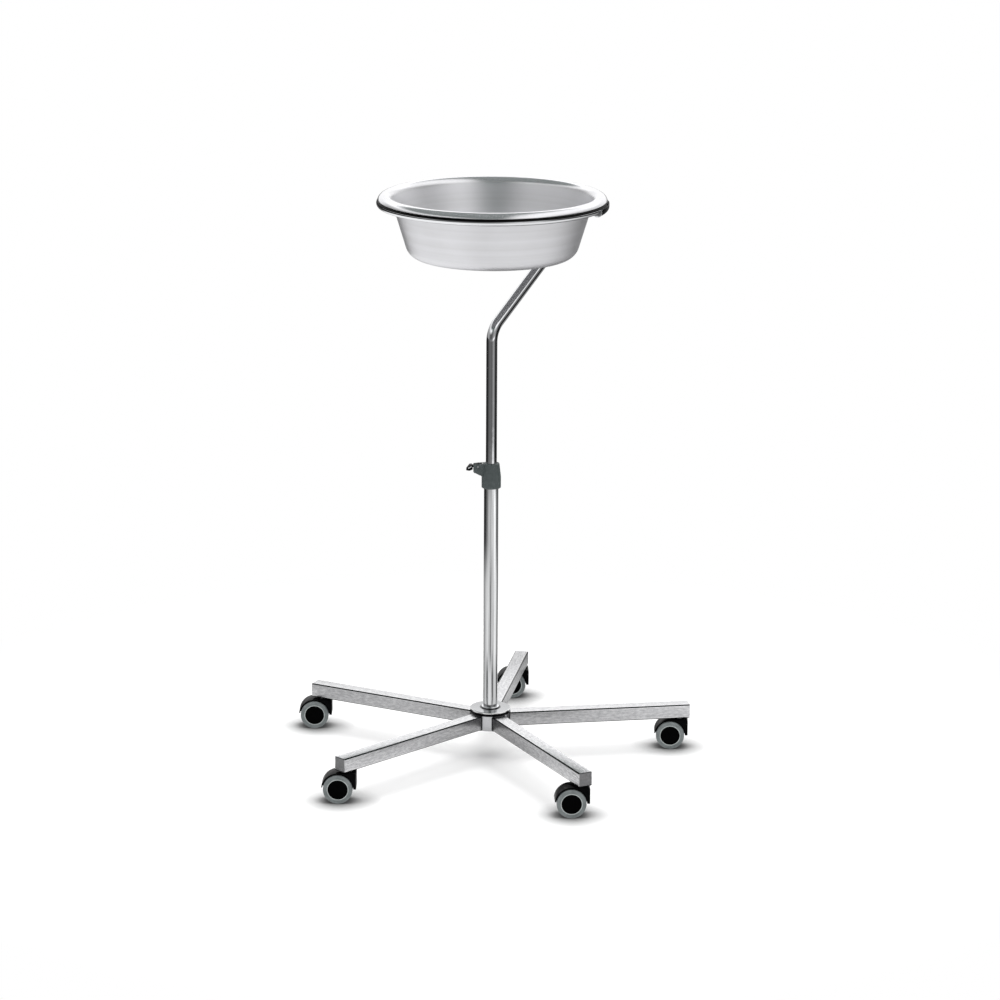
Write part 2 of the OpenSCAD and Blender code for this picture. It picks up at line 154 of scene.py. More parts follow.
# %% Studio room
PLAIN_LEVEL = 0.74
BAND_GAIN = 1.5
ROOM_BANDS = [(-180, 0.06), (-165, 0.03), (-145, 0.01), (-92, 0.01), (-78, 0.04), (-60, 0.12), (-40, 0.13),
              (-20, 0.18), (8, 0.17), (17, 0.55), (24, 0.8), (46, 0.8), (56, 0.3), (66, 0.03), (84, 0.01),
              (142, 0.01), (158, 0.26), (168, 0.26), (180, 0.08)]
WALL_BANDS = [(-180, 0.8), (-150, 0.72), (-130, 0.3), (-96, 0.3), (-70, 0.3), (-48, 0.1), (-20, 0.07),
              (0, 0.11), (22, 0.26), (50, 0.3), (62, 0.12), (88, 0.12), (102, 0.35), (150, 0.75), (180, 0.8)]
SOFT_BOXES = [(-1, 0.6), (-0.62, 1.0), (-0.44, 0.66), (-0.2, "#6a7270"), (0.12, "#6a7270"), (0.36, 0.74),
              (0.6, 1.0), (1, 0.6)]
OVERHEAD = [(-1, "#4e5654"), (0.16, "#4e5654"), (0.36, 0.75), (0.6, 0.9), (1, 0.6)]
BACK_LEVEL = 1.3
HORIZON = (-0.02, 0.03)
CEILING = (0.3, 0.5)
ZENITH = (0.52, 0.66)
BACK = (0.55, 0.85)


def band_ramp(tree, parts, bands):
    """A ramp over the turn of a direction, split into parts, from the camera's side, in degrees."""
    away = add_node(tree, "Math", {0: parts.outputs["Y"], 1: -1.0}, operation="MULTIPLY")
    turn = add_node(tree, "Math", {0: parts.outputs["X"], 1: away}, operation="ARCTAN2")
    share = add_node(tree, "Math", {0: turn, 1: 1 / (2 * pi), 2: 0.5}, operation="MULTIPLY_ADD")
    return add_node(tree, "ValToRGB", {0: share}, [(turned / 360 + 0.5, level) for turned, level in bands])


room = bpy.data.worlds.new("studio_room")
bpy.context.scene.world = room
room.use_nodes = True
tree = room.node_tree
tree.nodes.clear()
parts = add_node(tree, "SeparateXYZ", {0: add_node(tree, "TexCoord").outputs["Generated"]})
across = add_node(tree, "MapRange", {"Value": parts.outputs["X"], "From Min": -1.0})
boxes, overhead = [add_node(tree, "ValToRGB", {0: across}, [((side + 1) / 2, level) for side, level in stops])
                   for stops in (SOFT_BOXES, OVERHEAD)]
back = add_node(tree, "MapRange", {"Value": parts.outputs["Y"], "From Min": BACK[0], "From Max": BACK[1]})
ceiling = add_node(tree, "Mix", {0: back, 6: boxes, 7: [BACK_LEVEL] * 3 + [1]}, data_type="RGBA")
wall = band_ramp(tree, parts, WALL_BANDS)
seen = band_ramp(tree, parts, ROOM_BANDS)
for upper, (start, end) in ((wall, HORIZON), (ceiling, CEILING), (overhead, ZENITH)):
    height = add_node(tree, "MapRange", {"Value": parts.outputs["Z"], "From Min": start, "From Max": end})
    seen = add_node(tree, "Mix", {0: height, 6: seen, 7: upper}, data_type="RGBA")
mirrored = add_node(tree, "Background", {0: seen, 1: BAND_GAIN})
white = add_node(tree, "Background", {0: [1, 1, 1, 1]})
ray = add_node(tree, "LightPath")
shown = add_node(tree, "Background", {0: [PLAIN_LEVEL] * 3 + [1]})
for ray_kind, light in (("Is Glossy Ray", mirrored), ("Is Transmission Ray", white),
                        ("Is Camera Ray", white)):
    shown = add_node(tree, "MixShader", {0: ray.outputs[ray_kind], 1: shown, 2: light})
add_node(tree, "OutputWorld", {0: shown})
print("room bands:", len(ROOM_BANDS))

# %% [markdown]
# ## The floor
# The floor is white paper that keeps the object's soft shadow. The metal sees it too, in rings round the
# foot: the inner ones light the arms and draw the crisp lines low on the column, and further out the paper
# ends and the room's bands begin. That is the paper's sheen at a low angle. Looked down on more steeply,
# as the bowl's wall does, the same paper is matt and nearly even, which a layer weight tells apart. Metal
# seen in other metal, such as the bowl's bottom in the slanted mast, gets less of its light.
#
# To the camera the paper is darkened within 52 mm of anything that stands on it, which deepens the
# castors' contact shadows, and it turns to pure white past them. Seen from below it is clear, to show the
# underside.

# %% Floor
FLOOR_HALF = 6.0
FOOT_BANDS = [(-180, 0.2), (-30, 0.25), (30, 0.25), (180, 0.2)]
INNER_BANDS = [(-180, 0.3), (-120, 0.4), (-20, 0.6), (5, 0.6), (60, 0.5), (120, 0.4), (180, 0.3)]
NEAR_BANDS = [(-180, 0.3), (-150, 0.28), (-112, 0.25), (-104, 0.46), (-70, 0.52), (-62, 0.04), (-45, 0.04),
              (-38, 0.6), (-12, 0.66), (8, 0.55), (22, 0.42), (29, 0.08), (43, 0.1), (50, 0.56), (94, 0.56),
              (101, 0.08), (140, 0.08), (152, 0.5), (172, 0.5), (180, 0.3)]
MIDDLE_BANDS = [(-180, 0.3), (-140, 0.25), (-120, 0.26), (-95, 0.38), (-75, 0.56), (-40, 0.64), (-10, 0.4),
                (-4, 0.1), (4, 0.1), (10, 0.45), (45, 0.5), (58, 0.75), (82, 0.8), (105, 0.4), (122, 0.12),
                (150, 0.12), (180, 0.25)]
OUTER_BANDS = [(-180, 0.25), (-150, 0.06), (-122, 0.01), (-98, 0.02), (-82, 0.07), (-62, 0.15), (-40, 0.4),
               (-25, 0.46), (0, 0.46), (20, 0.52), (40, 0.6), (54, 1.0), (70, 1.0), (84, 0.36), (98, 0.1),
               (118, 0.1), (140, 0.12), (160, 0.3), (180, 0.3)]
FAR_BANDS = [(-180, 0.08), (-160, 0.08), (-140, 0.03), (-120, 0.01), (-80, 0.02), (-60, 0.09), (-20, 0.115),
             (0, 0.083), (20, 0.17), (42, 0.3), (60, 0.13), (80, 0.02), (100, 0.005), (120, 0.03), (140, 0.1),
             (160, 0.2), (180, 0.08)]
STEEP_BANDS = [(-180, 0.1), (-168, 0.3), (-152, 0.72), (-125, 0.8), (-50, 0.8), (-10, 0.7), (20, 0.72),
               (50, 0.7), (72, 0.68), (95, 0.62), (115, 0.38), (150, 0.12), (180, 0.1)]
RINGS = [(INNER_BANDS, 0.08, 0.2), (NEAR_BANDS, 0.26, 0.34), (MIDDLE_BANDS, 0.47, 0.62),
         (OUTER_BANDS, 1.1, 1.4), (ROOM_BANDS, 1.75, 2.05), (FAR_BANDS, 2.25, 2.45)]
STEEP = ((0.3, 0.69), (0.1, 0.6))
STEEP_PLACE = (0.38, 0.48)
SECOND_GAIN = 0.3
PAPER_GLOW = 0.02
CONTACT = 52 * MM
CONTACT_TONES = [(0.25, 0.1), (0.6, 0.3), (0.88, 0.76), (0.99, 1.0)]
SHADOW_END = (0.62, 1.15)

bpy.ops.object.select_all(action="DESELECT")
bpy.ops.mesh.primitive_plane_add(size=2 * FLOOR_HALF, location=(0, 0, 0))
floor = bpy.context.object
floor.name = "studio_floor"
paper = bpy.data.materials.new("white_paper")
paper.use_nodes = True
floor.data.materials.append(paper)
tree = paper.node_tree
tree.nodes.clear()
print("floor:", 2 * FLOOR_HALF, "m wide")

# %% What the metal sees of the floor
place = add_node(tree, "TexCoord").outputs["Object"]
parts = add_node(tree, "SeparateXYZ", {0: place})
distance = add_node(tree, "VectorMath", {0: place}, operation="LENGTH")
seen = band_ramp(tree, parts, FOOT_BANDS)
for bands, start, end in RINGS:
    beyond = add_node(tree, "MapRange", {"Value": distance, "From Min": start, "From Max": end})
    seen = add_node(tree, "Mix", {0: beyond, 6: seen, 7: band_ramp(tree, parts, bands)}, data_type="RGBA")
low_angle = add_node(tree, "LayerWeight", {"Blend": 0.5}).outputs["Facing"]
limits = [add_node(tree, "MapRange", {"Value": distance, "From Min": STEEP_PLACE[0],
                                      "From Max": STEEP_PLACE[1], "To Min": close, "To Max": away})
          for close, away in STEEP]
steep = add_node(tree, "MapRange", {"Value": low_angle, "From Min": limits[0], "From Max": limits[1]})
seen = add_node(tree, "Mix", {0: steep, 6: seen, 7: band_ramp(tree, parts, STEEP_BANDS)}, data_type="RGBA")
ray = add_node(tree, "LightPath")
gain = add_node(tree, "MapRange", {"Value": ray.outputs["Glossy Depth"], "From Min": 1.0, "From Max": 2.0,
                                   "To Min": BAND_GAIN, "To Max": SECOND_GAIN})
mirrored = add_node(tree, "Emission", {"Color": seen, "Strength": gain})
print("floor rings:", len(RINGS) + 1)

# %% What the camera sees of the floor
nearby = add_node(tree, "AmbientOcclusion", {"Distance": CONTACT}, samples=8)
contact = add_node(tree, "ValToRGB", {0: nearby.outputs["AO"]}, CONTACT_TONES)
bright = add_node(tree, "BsdfDiffuse", {"Color": contact})
glow = add_node(tree, "Emission", {"Color": [1, 1, 1, 1], "Strength": PAPER_GLOW})
lit = add_node(tree, "AddShader", {0: bright, 1: glow})
white = add_node(tree, "Emission", {"Color": [1, 1, 1, 1]})
far = add_node(tree, "MapRange", {"Value": distance, "From Min": SHADOW_END[0], "From Max": SHADOW_END[1]},
               interpolation_type="SMOOTHSTEP")
lit = add_node(tree, "MixShader", {0: far, 1: lit, 2: white})
matt = add_node(tree, "BsdfDiffuse", {"Color": [0.86, 0.86, 0.87, 1]})
shown = add_node(tree, "MixShader", {0: ray.outputs["Is Glossy Ray"], 1: matt, 2: mirrored})
shown = add_node(tree, "MixShader", {0: ray.outputs["Is Camera Ray"], 1: shown, 2: lit})
below = add_node(tree, "NewGeometry").outputs["Backfacing"]
shown = add_node(tree, "MixShader", {0: below, 1: shown, 2: add_node(tree, "BsdfTransparent")})
add_node(tree, "OutputMaterial", {0: shown})
print("contact shadows:", CONTACT / MM, "mm wide")

# %% [markdown]
# ## The lamps
# One wide panel hangs over the object and gives the soft dark shadows under the castors. The
# metal doesn't see it, because its reflections come from the room.

# %% Lamps
panel = bpy.data.lights.new("overhead_panel", "AREA")
panel.shape = "DISK"
panel.size = 3.4
panel.energy = 82
lamp = bpy.data.objects.new("overhead_panel", panel)
bpy.context.scene.collection.objects.link(lamp)
lamp.location = (0.2, 0.2, 3.2)
lamp.rotation_euler = (radians(-4), radians(4), 0)
lamp.visible_glossy = False
print("overhead panel:", panel.energy, "W")

# %% [markdown]
# ## Ground steel tube
# The arms are stainless square tube, ground along its length with a belt. The belt leaves fine lines that
# run along the tube and spread a reflection across it, so the faces look softly mottled. The rounded
# corners are painted dark, a painted reflection of the dark room, and a thin bright line beside each of them
# is a painted highlight. The pattern lies on the tube's own UV map, in metres along and round the tube. Real
# belt lines are about 0.1 mm apart, too fine to show, so they are drawn 0.6 mm apart.

# %% Ground steel
BELT_LINE = 0.6 * MM
BELT_RUN = 26 * MM
MOTTLE = 3.5 * MM
MOTTLE_RUN = 9 * MM
TUBE_W = 25
CORNER_R = 2.5
TUBE_MAP = "UVMap"
SHALLOW = 0.05 * MM


def rough_by(tree, pattern, low, high, start=0.3):
    """A roughness that runs from low to high with a noise, which seldom leaves the span from 0.3 to 0.7."""
    return add_node(tree, "MapRange", {"Value": pattern, "From Min": start, "From Max": 0.7,
                                       "To Min": low, "To Max": high})


ground_steel, tree, shader = new_finish("ground_steel_tube", "#c9c9cb", 1.0, 0.27)
tube_map = add_node(tree, "UVMap", uv_map=TUBE_MAP)
along = [add_node(tree, "Mapping", {"Vector": tube_map, "Scale": (1 / run, 1 / width, 1)})
         for run, width in ((BELT_RUN, BELT_LINE), (MOTTLE_RUN, MOTTLE))]
belt, mottle = [add_node(tree, "TexNoise", {"Vector": stretched, "Scale": 1.0, "Detail": 3.0},
                         noise_dimensions="2D") for stretched in along]
both = add_node(tree, "Math", {0: belt, 1: mottle}, operation="ADD")
half = add_node(tree, "Math", {0: both, 1: 0.5}, operation="MULTIPLY")
tone = add_node(tree, "ValToRGB", {0: half}, [(0.38, "#bcbcbe"), (0.5, "#cdcdcf"), (0.62, "#e2e2e3")])
height_on_face = add_node(tree, "SeparateXYZ", {0: tube_map}).outputs["Y"]
from_middle = add_node(tree, "Math", {0: height_on_face, 1: 0.5}, operation="SUBTRACT")
off_middle = add_node(tree, "Math", {0: from_middle}, operation="ABSOLUTE")
corner = add_node(tree, "MapRange", {"Value": off_middle, "From Min": (TUBE_W / 2 - CORNER_R - 1) * MM,
                                     "From Max": (TUBE_W / 2 - CORNER_R + 1) * MM})
# The bright line beside each rounded corner is a painted highlight, and the dark corner a painted reflection.
edge_highlight = add_node(tree, "ValToRGB", {0: corner}, [(0.3, 0.0), (0.45, 1.0), (0.68, 1.0), (0.78, 0.0)])
corner_dark_reflection = add_node(tree, "ValToRGB", {0: corner}, [(0.7, 0.0), (0.82, 1.0)])
highlighted_tone = add_node(tree, "Mix", {0: edge_highlight, 6: tone, 7: linear("#f6f6f7")}, data_type="RGBA")
painted_edge_tone = add_node(tree, "Mix", {0: corner_dark_reflection, 6: highlighted_tone, 7: linear("#333436")}, data_type="RGBA")
smoother = add_node(tree, "Mix", {0: corner, 2: rough_by(tree, belt, 0.24, 0.36), 3: 0.16})
relief = add_node(tree, "Bump", {"Height": belt, "Strength": 0.1, "Distance": SHALLOW})
plug_in(tree, shader, {"Base Color": painted_edge_tone, "Roughness": smoother, "Normal": relief})
print("belt lines:", BELT_LINE / MM, "mm apart")

# %% [markdown]
# ## Polished steel tube
# The mast, the ring and the bright trim are drawn tube, polished to a mirror. Such steel shows the room in
# crisp dark and bright bands. Wiping leaves a faint haze in patches, which the roughness carries.

# %% Polished steel
HAZE = 9 * MM
POLISH_WAVE = 3 * MM

polished_steel, tree, shader = new_finish("polished_steel_tube", "#dcdddf", 1.0, 0.06)
place = add_node(tree, "TexCoord").outputs["Object"]
haze = add_node(tree, "TexNoise", {"Vector": place, "Scale": 1 / HAZE, "Detail": 5.0})
wave = add_node(tree, "TexNoise", {"Vector": place, "Scale": 1 / POLISH_WAVE, "Detail": 1.0})
relief = add_node(tree, "Bump", {"Height": wave, "Strength": 0.02, "Distance": SHALLOW})
plug_in(tree, shader, {"Roughness": rough_by(tree, haze, 0.035, 0.13, 0.35), "Normal": relief})
print("haze patches:", HAZE / MM, "mm")

# %% [markdown]
# ## Drawn steel tube
# The column is drawn through a die and less polished than the mast. The die leaves long streaks up and
# down the tube, which break the reflections into soft uneven lines.

# %% Drawn steel
STREAK_W = 1.3 * MM
STREAK_RUN = 70 * MM

drawn_steel, tree, shader = new_finish("drawn_steel_tube", "#d2d3d4", 1.0, 0.12)
place = add_node(tree, "TexCoord").outputs["Object"]
upright = add_node(tree, "Mapping", {"Vector": place, "Scale": (1 / STREAK_W, 1 / STREAK_W, 1 / STREAK_RUN)})
streak = add_node(tree, "TexNoise", {"Vector": upright, "Scale": 1.0, "Detail": 3.0})
tone = add_node(tree, "ValToRGB", {0: streak}, [(0.3, "#c2c3c4"), (0.55, "#e2e3e4")])
relief = add_node(tree, "Bump", {"Height": streak, "Strength": 0.06, "Distance": SHALLOW})
plug_in(tree, shader, {"Base Color": tone, "Roughness": rough_by(tree, streak, 0.05, 0.11), "Normal": relief})
print("streaks:", STREAK_W / MM, "mm wide")

# %% [markdown]
# ## Spun satin steel
# The bowl is pressed from one sheet and finished on a lathe, so its fine lines run round it. Such lines
# smear a reflection across themselves, up and down the wall, and that gives the broad upright light and
# dark fields. They also scatter some light like a white powder, so the metallic value is lower than that of
# a mirror. The rim is buffed smoother. The pattern is read at the distance from the bowl's axis and at
# the height, so it runs round with no seam. Real lathe lines are finer than a pixel, so they are drawn
# 1.2 mm apart, with broader faint bands over them.

# %% Spun steel
LATHE_LINE = 1.2 * MM
LATHE_BAND = 11 * MM
CLOUD = 55 * MM
RIM_START = 168 * MM
RIM_SHINE = 173 * MM


def from_axis(tree, parts):
    """The distance from the Z axis of a place that is split into parts."""
    flat = add_node(tree, "CombineXYZ", {0: parts.outputs["X"], 1: parts.outputs["Y"]})
    return add_node(tree, "VectorMath", {0: flat}, operation="LENGTH")


spun_steel, tree, shader = new_finish("spun_satin_steel", "#cfcfd0", 0.85, 0.3)
place = add_node(tree, "TexCoord").outputs["Object"]
parts = add_node(tree, "SeparateXYZ", {0: place})
outwards = from_axis(tree, parts)
rings = add_node(tree, "CombineXYZ", {0: outwards, 1: parts.outputs["Z"]})
line, band = [add_node(tree, "TexNoise", {"Vector": rings, "Scale": 1 / width, "Detail": 2.0},
                       noise_dimensions="2D") for width in (LATHE_LINE, LATHE_BAND)]
cloud = add_node(tree, "TexNoise", {"Vector": place, "Scale": 1 / CLOUD, "Detail": 3.0})
mixed = add_node(tree, "Math", {0: line, 1: 0.3, 2: band}, operation="MULTIPLY_ADD")
mixed = add_node(tree, "Math", {0: cloud, 1: 0.7, 2: mixed}, operation="MULTIPLY_ADD")
half = add_node(tree, "Math", {0: mixed, 1: 0.5}, operation="MULTIPLY")
tone = add_node(tree, "ValToRGB", {0: half}, [(0.38, "#d5d5d7"), (0.62, "#dedee1")])
rim = add_node(tree, "MapRange", {"Value": outwards, "From Min": RIM_START, "From Max": RIM_SHINE})
buffed = add_node(tree, "Mix", {0: rim, 2: rough_by(tree, line, 0.34, 0.4), 3: 0.16})
round_axis = add_node(tree, "Tangent", direction_type="RADIAL", axis="Z")
relief = add_node(tree, "Bump", {"Height": line, "Strength": 0.05, "Distance": SHALLOW})
plug_in(tree, shader, {"Base Color": tone, "Roughness": buffed, "Normal": relief, "Tangent": round_axis,
                       "Anisotropic": 0.4, "Anisotropic Rotation": 0.25})
print("lathe lines:", LATHE_LINE / MM, "mm apart")

# %% [markdown]
# ## Plastics and rubber
# All of these are injection moulded, and differ in colour, gloss and grain. The clamp is nylon filled with
# glass fibre, whose fibres leave a fine dull grain. The castors' hoods and the lever are glossy black
# nylon, which shows the room in soft lines. The wheels' cores are matt black. The black on the ring's upper
# side is painted shade, the dark line under the bowl's rim. The treads are grey polyurethane, and their lip
# is painted lighter, a painted highlight. The plugs are grey polyethylene with a fine spark-eroded grain, and
# the hidden guides are acetal. The grain is 0.6 mm and more, coarser than the real one, so that it shows.


# %% Moulded plastics
def moulded(name, light, dark, roughness, grain, depth, gloss=0.5, mottle=6.0):
    """A moulded plastic: two close tones, a fine grain in mm, its depth in mm, and its gloss."""
    finish, tree, shader = new_finish(name, light, 0.0, roughness[0])
    place = add_node(tree, "TexCoord").outputs["Object"]
    patch = add_node(tree, "TexNoise", {"Vector": place, "Scale": 1 / (mottle * MM), "Detail": 4.0})
    tone = add_node(tree, "ValToRGB", {0: patch}, [(0.35, dark), (0.65, light)])
    fine = add_node(tree, "TexNoise", {"Vector": place, "Scale": 1 / (grain * MM), "Detail": 2.0})
    relief = add_node(tree, "Bump", {"Height": fine, "Strength": 0.4, "Distance": depth * MM})
    plug_in(tree, shader, {"Base Color": tone, "Roughness": rough_by(tree, fine, *roughness),
                           "Normal": relief, "Specular IOR Level": gloss})
    return finish


slate_nylon = moulded("glass_filled_nylon", "#4b5353", "#424a4a", (0.42, 0.6), 0.6, 0.06)
black_nylon = moulded("glossy_black_nylon", "#070708", "#040405", (0.16, 0.26), 2.5, 0.03, 0.03)
matt_nylon = moulded("matt_black_nylon", "#030304", "#020202", (0.3, 0.45), 0.6, 0.04, 0.02)
grey_tread = moulded("grey_polyurethane", "#7f8585", "#6b7171", (0.42, 0.58), 0.8, 0.05, 0.4, 12.0)
grey_polyethylene = moulded("grey_polyethylene", "#7c7c7d", "#6a6a6b", (0.4, 0.55), 0.9, 0.12, 0.4, 3.0)
acetal = moulded("natural_acetal", "#9b9b97", "#8d8d89", (0.3, 0.4), 1.0, 0.03)
# A light grey for the tread's lip: a painted highlight.
lip_highlight_tone = moulded("painted_lip_highlight", "#c3c9c7", "#b2b9b7", (0.4, 0.5), 0.8, 0.05, 0.4)
# Black painted shade for the ring's upper side, where the rim's shadow falls.
gap_shade_black = moulded("painted_gap_shade", "#060606", "#030303", (0.4, 0.5), 0.8, 0.03, 0.05)
print("plastics: 8")

# %% [markdown]
# ## Turned steel
# The castors' stems, the axles and the small rings are turned from bar and zinc plated, which leaves them
# a dull blue-grey with faint cloudy patches.

# %% Turned steel
ZINC_CLOUD = 4 * MM

turned_steel, tree, shader = new_finish("zinc_plated_steel", "#b4b6ba", 1.0, 0.3)
place = add_node(tree, "TexCoord").outputs["Object"]
cloud = add_node(tree, "TexNoise", {"Vector": place, "Scale": 1 / ZINC_CLOUD, "Detail": 4.0})
tone = add_node(tree, "ValToRGB", {0: cloud}, [(0.35, "#96999e"), (0.5, "#b4b6ba"), (0.68, "#c0bfb8")])
plug_in(tree, shader, {"Base Color": tone, "Roughness": rough_by(tree, cloud, 0.22, 0.42)})
print("turned steel: zinc plated")

# %% [markdown]
# ## The hub's steel
# The hub is turned and polished. The narrow neck between the arms' tops and the hub's upper edge is painted
# dark, a painted reflection of the dark room, and a thin ring of painted shade lies on the top round the
# column's foot. The edge above the neck is painted near white, a painted highlight, and the flat top is
# painted a darker grey than the side, to tone down its reflection. The welds themselves are dull and dark.
# The neck's tones are given by their heights in millimetres.

# %% Hub steel
# Painted tones by height: a painted dark reflection on the neck, a painted highlight on the edge, a darker
# top.
NECK_PAINTED_TONES = [(81.0, "#c6c7c9"), (81.6, "#131314"), (85.9, "#131314"), (86.5, "#fafafa"), (88.3, "#fafafa"),
        (88.55, "#a6a7a9")]
NECK_START = 80
NECK_SPAN = 10
FOOT_PAINTED_SHADE = (17.2, 19.2)
TURNED = 2 * MM
WELD_RIPPLE = 1.2 * MM

hub_steel, tree, shader = new_finish("turned_hub_steel", "#c6c7c9", 1.0, 0.16)
place = add_node(tree, "TexCoord").outputs["Object"]
parts = add_node(tree, "SeparateXYZ", {0: place})
up_neck = add_node(tree, "MapRange", {"Value": parts.outputs["Z"], "From Min": NECK_START * MM,
                                      "From Max": (NECK_START + NECK_SPAN) * MM})
tone = add_node(tree, "ValToRGB", {0: up_neck},
                [((height - NECK_START) / NECK_SPAN, colour) for height, colour in NECK_PAINTED_TONES])
# A thin ring of painted shade on the hub's top, round the column's foot.
beyond_foot_shade = add_node(tree, "MapRange", {"Value": from_axis(tree, parts), "From Min": FOOT_PAINTED_SHADE[0] * MM,
                                    "From Max": FOOT_PAINTED_SHADE[1] * MM})
painted_hub_tone = add_node(tree, "Mix", {0: beyond_foot_shade, 6: linear("#1a1a1b"), 7: tone}, data_type="RGBA")
turned = add_node(tree, "TexNoise", {"Vector": place, "Scale": 1 / TURNED, "Detail": 3.0})
plug_in(tree, shader, {"Base Color": painted_hub_tone, "Roughness": rough_by(tree, turned, 0.12, 0.24)})
weld_steel, tree, shader = new_finish("dark_weld_steel", "#3c3c3e", 1.0, 0.34)
place = add_node(tree, "TexCoord").outputs["Object"]
ripple = add_node(tree, "TexNoise", {"Vector": place, "Scale": 1 / WELD_RIPPLE, "Detail": 2.0})
relief = add_node(tree, "Bump", {"Height": ripple, "Strength": 0.5, "Distance": 4 * SHALLOW})
plug_in(tree, shader, {"Normal": relief})
print("hub steel: dark neck of", NECK_PAINTED_TONES[2][0] - NECK_PAINTED_TONES[1][0], "mm")

# %% [markdown]
# ## Helpers for modelling
# Most pieces of this stand are turned, bent from tube, or pressed and moulded with one outline. So the
# helpers draw an outline by extruding a single vertex from corner to corner, and spin it round an axis as
# a lathe does. Faces and edges are picked by their place or normal, as a hand would pick them on the
# screen.


# %% Modelling helpers
def pick(piece):
    """Leave edit mode, and make one piece the only selected and active object."""
    if bpy.context.mode != "OBJECT":
        bpy.ops.object.mode_set(mode="OBJECT")
    bpy.ops.object.select_all(action="DESELECT")
    piece.select_set(True)
    bpy.context.view_layer.objects.active = piece


def settle(piece, matrix=None):
    """Put a piece at a new place and turn, if one is given, and apply it to the mesh."""
    if matrix:
        piece.matrix_world = matrix
    pick(piece)
    bpy.ops.object.transform_apply(location=True, rotation=True, scale=True)
    return piece


def smooth(piece, angle=40):
    """Shade the faces smooth where they meet at less than an angle in degrees."""
    pick(piece)
    bpy.ops.object.shade_smooth_by_angle(angle=radians(angle))


def pull(way):
    """Extrude what is selected by a way in metres."""
    bpy.ops.mesh.extrude_region_move(TRANSFORM_OT_translate={"value": way})


def tidy_skin():
    """Merge the doubles of the mesh in edit mode, and turn its faces outwards."""
    bpy.ops.mesh.select_all(action="SELECT")
    bpy.ops.mesh.remove_doubles(threshold=0.002 * MM)
    bpy.ops.mesh.normals_make_consistent(inside=False)


def arc(across, up, r, start, end, steps):
    """Points of an arc round (across, up), from a start angle to an end angle in degrees."""
    angles = [radians(start + (end - start) * k / steps) for k in range(steps + 1)]
    return [(across + r * cos(a), up + r * sin(a)) for a in angles]


def draw_path(name, path):
    """Draw a path in millimetres by extruding a vertex from point to point. It stays in edit mode."""
    places = [Vector(point) * MM for point in path]
    bpy.ops.object.select_all(action="DESELECT")
    bpy.ops.mesh.primitive_plane_add(size=MM, location=places[0])
    piece = settle(bpy.context.object)
    piece.name = name
    bpy.ops.object.mode_set(mode="EDIT")
    bpy.ops.mesh.select_mode(type="VERT")
    bpy.ops.mesh.select_all(action="SELECT")
    bpy.ops.mesh.merge(type="CENTER")
    for here, there in zip(places, places[1:]):
        pull(there - here)
    bpy.ops.mesh.select_all(action="SELECT")
    return piece


def draw_outline(name, outline):
    """Draw an outline in millimetres, across X and up Z, and merge its ends. It stays in edit mode."""
    piece = draw_path(name, [(across, 0, up) for across, up in outline])
    bpy.ops.mesh.remove_doubles(threshold=0.002 * MM)
    return piece


def lathe(name, outline, steps, angle=40):
    """Spin an outline of radii and heights once round the Z axis."""
    piece = draw_outline(name, outline)
    bpy.ops.mesh.spin(steps=steps, angle=2 * pi, center=(0, 0, 0), axis=(0, 0, 1))
    tidy_skin()
    smooth(piece, angle)
    return piece


def dress(piece, body, slot, finish, *nodes):
    """Give a piece its finish, the body it moves with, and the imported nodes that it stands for."""
    if finish:
        piece.data.materials.clear()
        piece.data.materials.append(finish)
    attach(piece, body)
    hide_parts(*nodes)


def heights(node):
    """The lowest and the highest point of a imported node, in millimetres."""
    return [corner.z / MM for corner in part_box(node)]


# %% [markdown]
# ## The bowl
# The real bowl is one round sheet of steel, 1 mm thick, drawn to a basin with a flat floor, a rounded
# lower corner, a wall that leans out by 17 degrees and a rim rolled over the ring. A spun outline of both
# skins gives the true thickness at the rim's edge. The sheet's edge is rounded, as a deburred edge is.

# %% Bowl
SHEET = 1.0
RIM_R = 12.6
RIM_CENTRE = 182.0
RIM_END = 18
LEAN = 17
FLOOR_CORNER = 26.0

floor_z, bowl_top = heights("bowl")
rim_z = bowl_top - RIM_R
lean = radians(LEAN)
wall_r = RIM_CENTRE - (RIM_R - SHEET) * cos(lean)
wall_z = rim_z + (RIM_R - SHEET) * sin(lean)
foot_r = wall_r - (wall_z - floor_z) * tan(lean) - FLOOR_CORNER * tan(radians(45 - LEAN / 2))
edge_turn = RIM_END + degrees(SHEET / 2 / (RIM_R - SHEET / 2))
edge_r = RIM_CENTRE + (RIM_R - SHEET / 2) * cos(radians(edge_turn))
edge_z = rim_z + (RIM_R - SHEET / 2) * sin(radians(edge_turn))
bowl = lathe("bowl_shell", [(0, floor_z), (foot_r / 2, floor_z)]
             + arc(foot_r, floor_z + FLOOR_CORNER, FLOOR_CORNER, -90, -LEAN, 14)
             + arc(RIM_CENTRE, rim_z, RIM_R - SHEET, 180 - LEAN, edge_turn, 24)
             + arc(edge_r, edge_z, SHEET / 2, edge_turn + 180, edge_turn + 360, 6)
             + arc(RIM_CENTRE, rim_z, RIM_R, edge_turn, 180 - LEAN, 26)
             + arc(foot_r, floor_z + FLOOR_CORNER, FLOOR_CORNER - SHEET, -LEAN, -90, 14)
             + [(foot_r / 2, floor_z + SHEET), (0, floor_z + SHEET)], steps=160)
dress(bowl, "bowl", "bowl_steel", spun_steel, "bowl")
print("bowl:", round(2 * edge_r + SHEET, 1), "mm across,", len(bowl.data.polygons), "faces")

# %% [markdown]
# ## The ring and its joint
# The ring is a 12 mm tube bent to a circle, with its two ends held in a black plastic joint at the right
# and a bright clip at the joint's end. Each is a section, drawn as it would be cut, and spun round the
# bowl's axis. The joint is open at the top, where the bowl's rim comes over it, and hangs below the ring.
# The ring's upper side, under the rim's overhang, is given a black material: painted shade, the dark line
# that the rim's shadow draws under it.

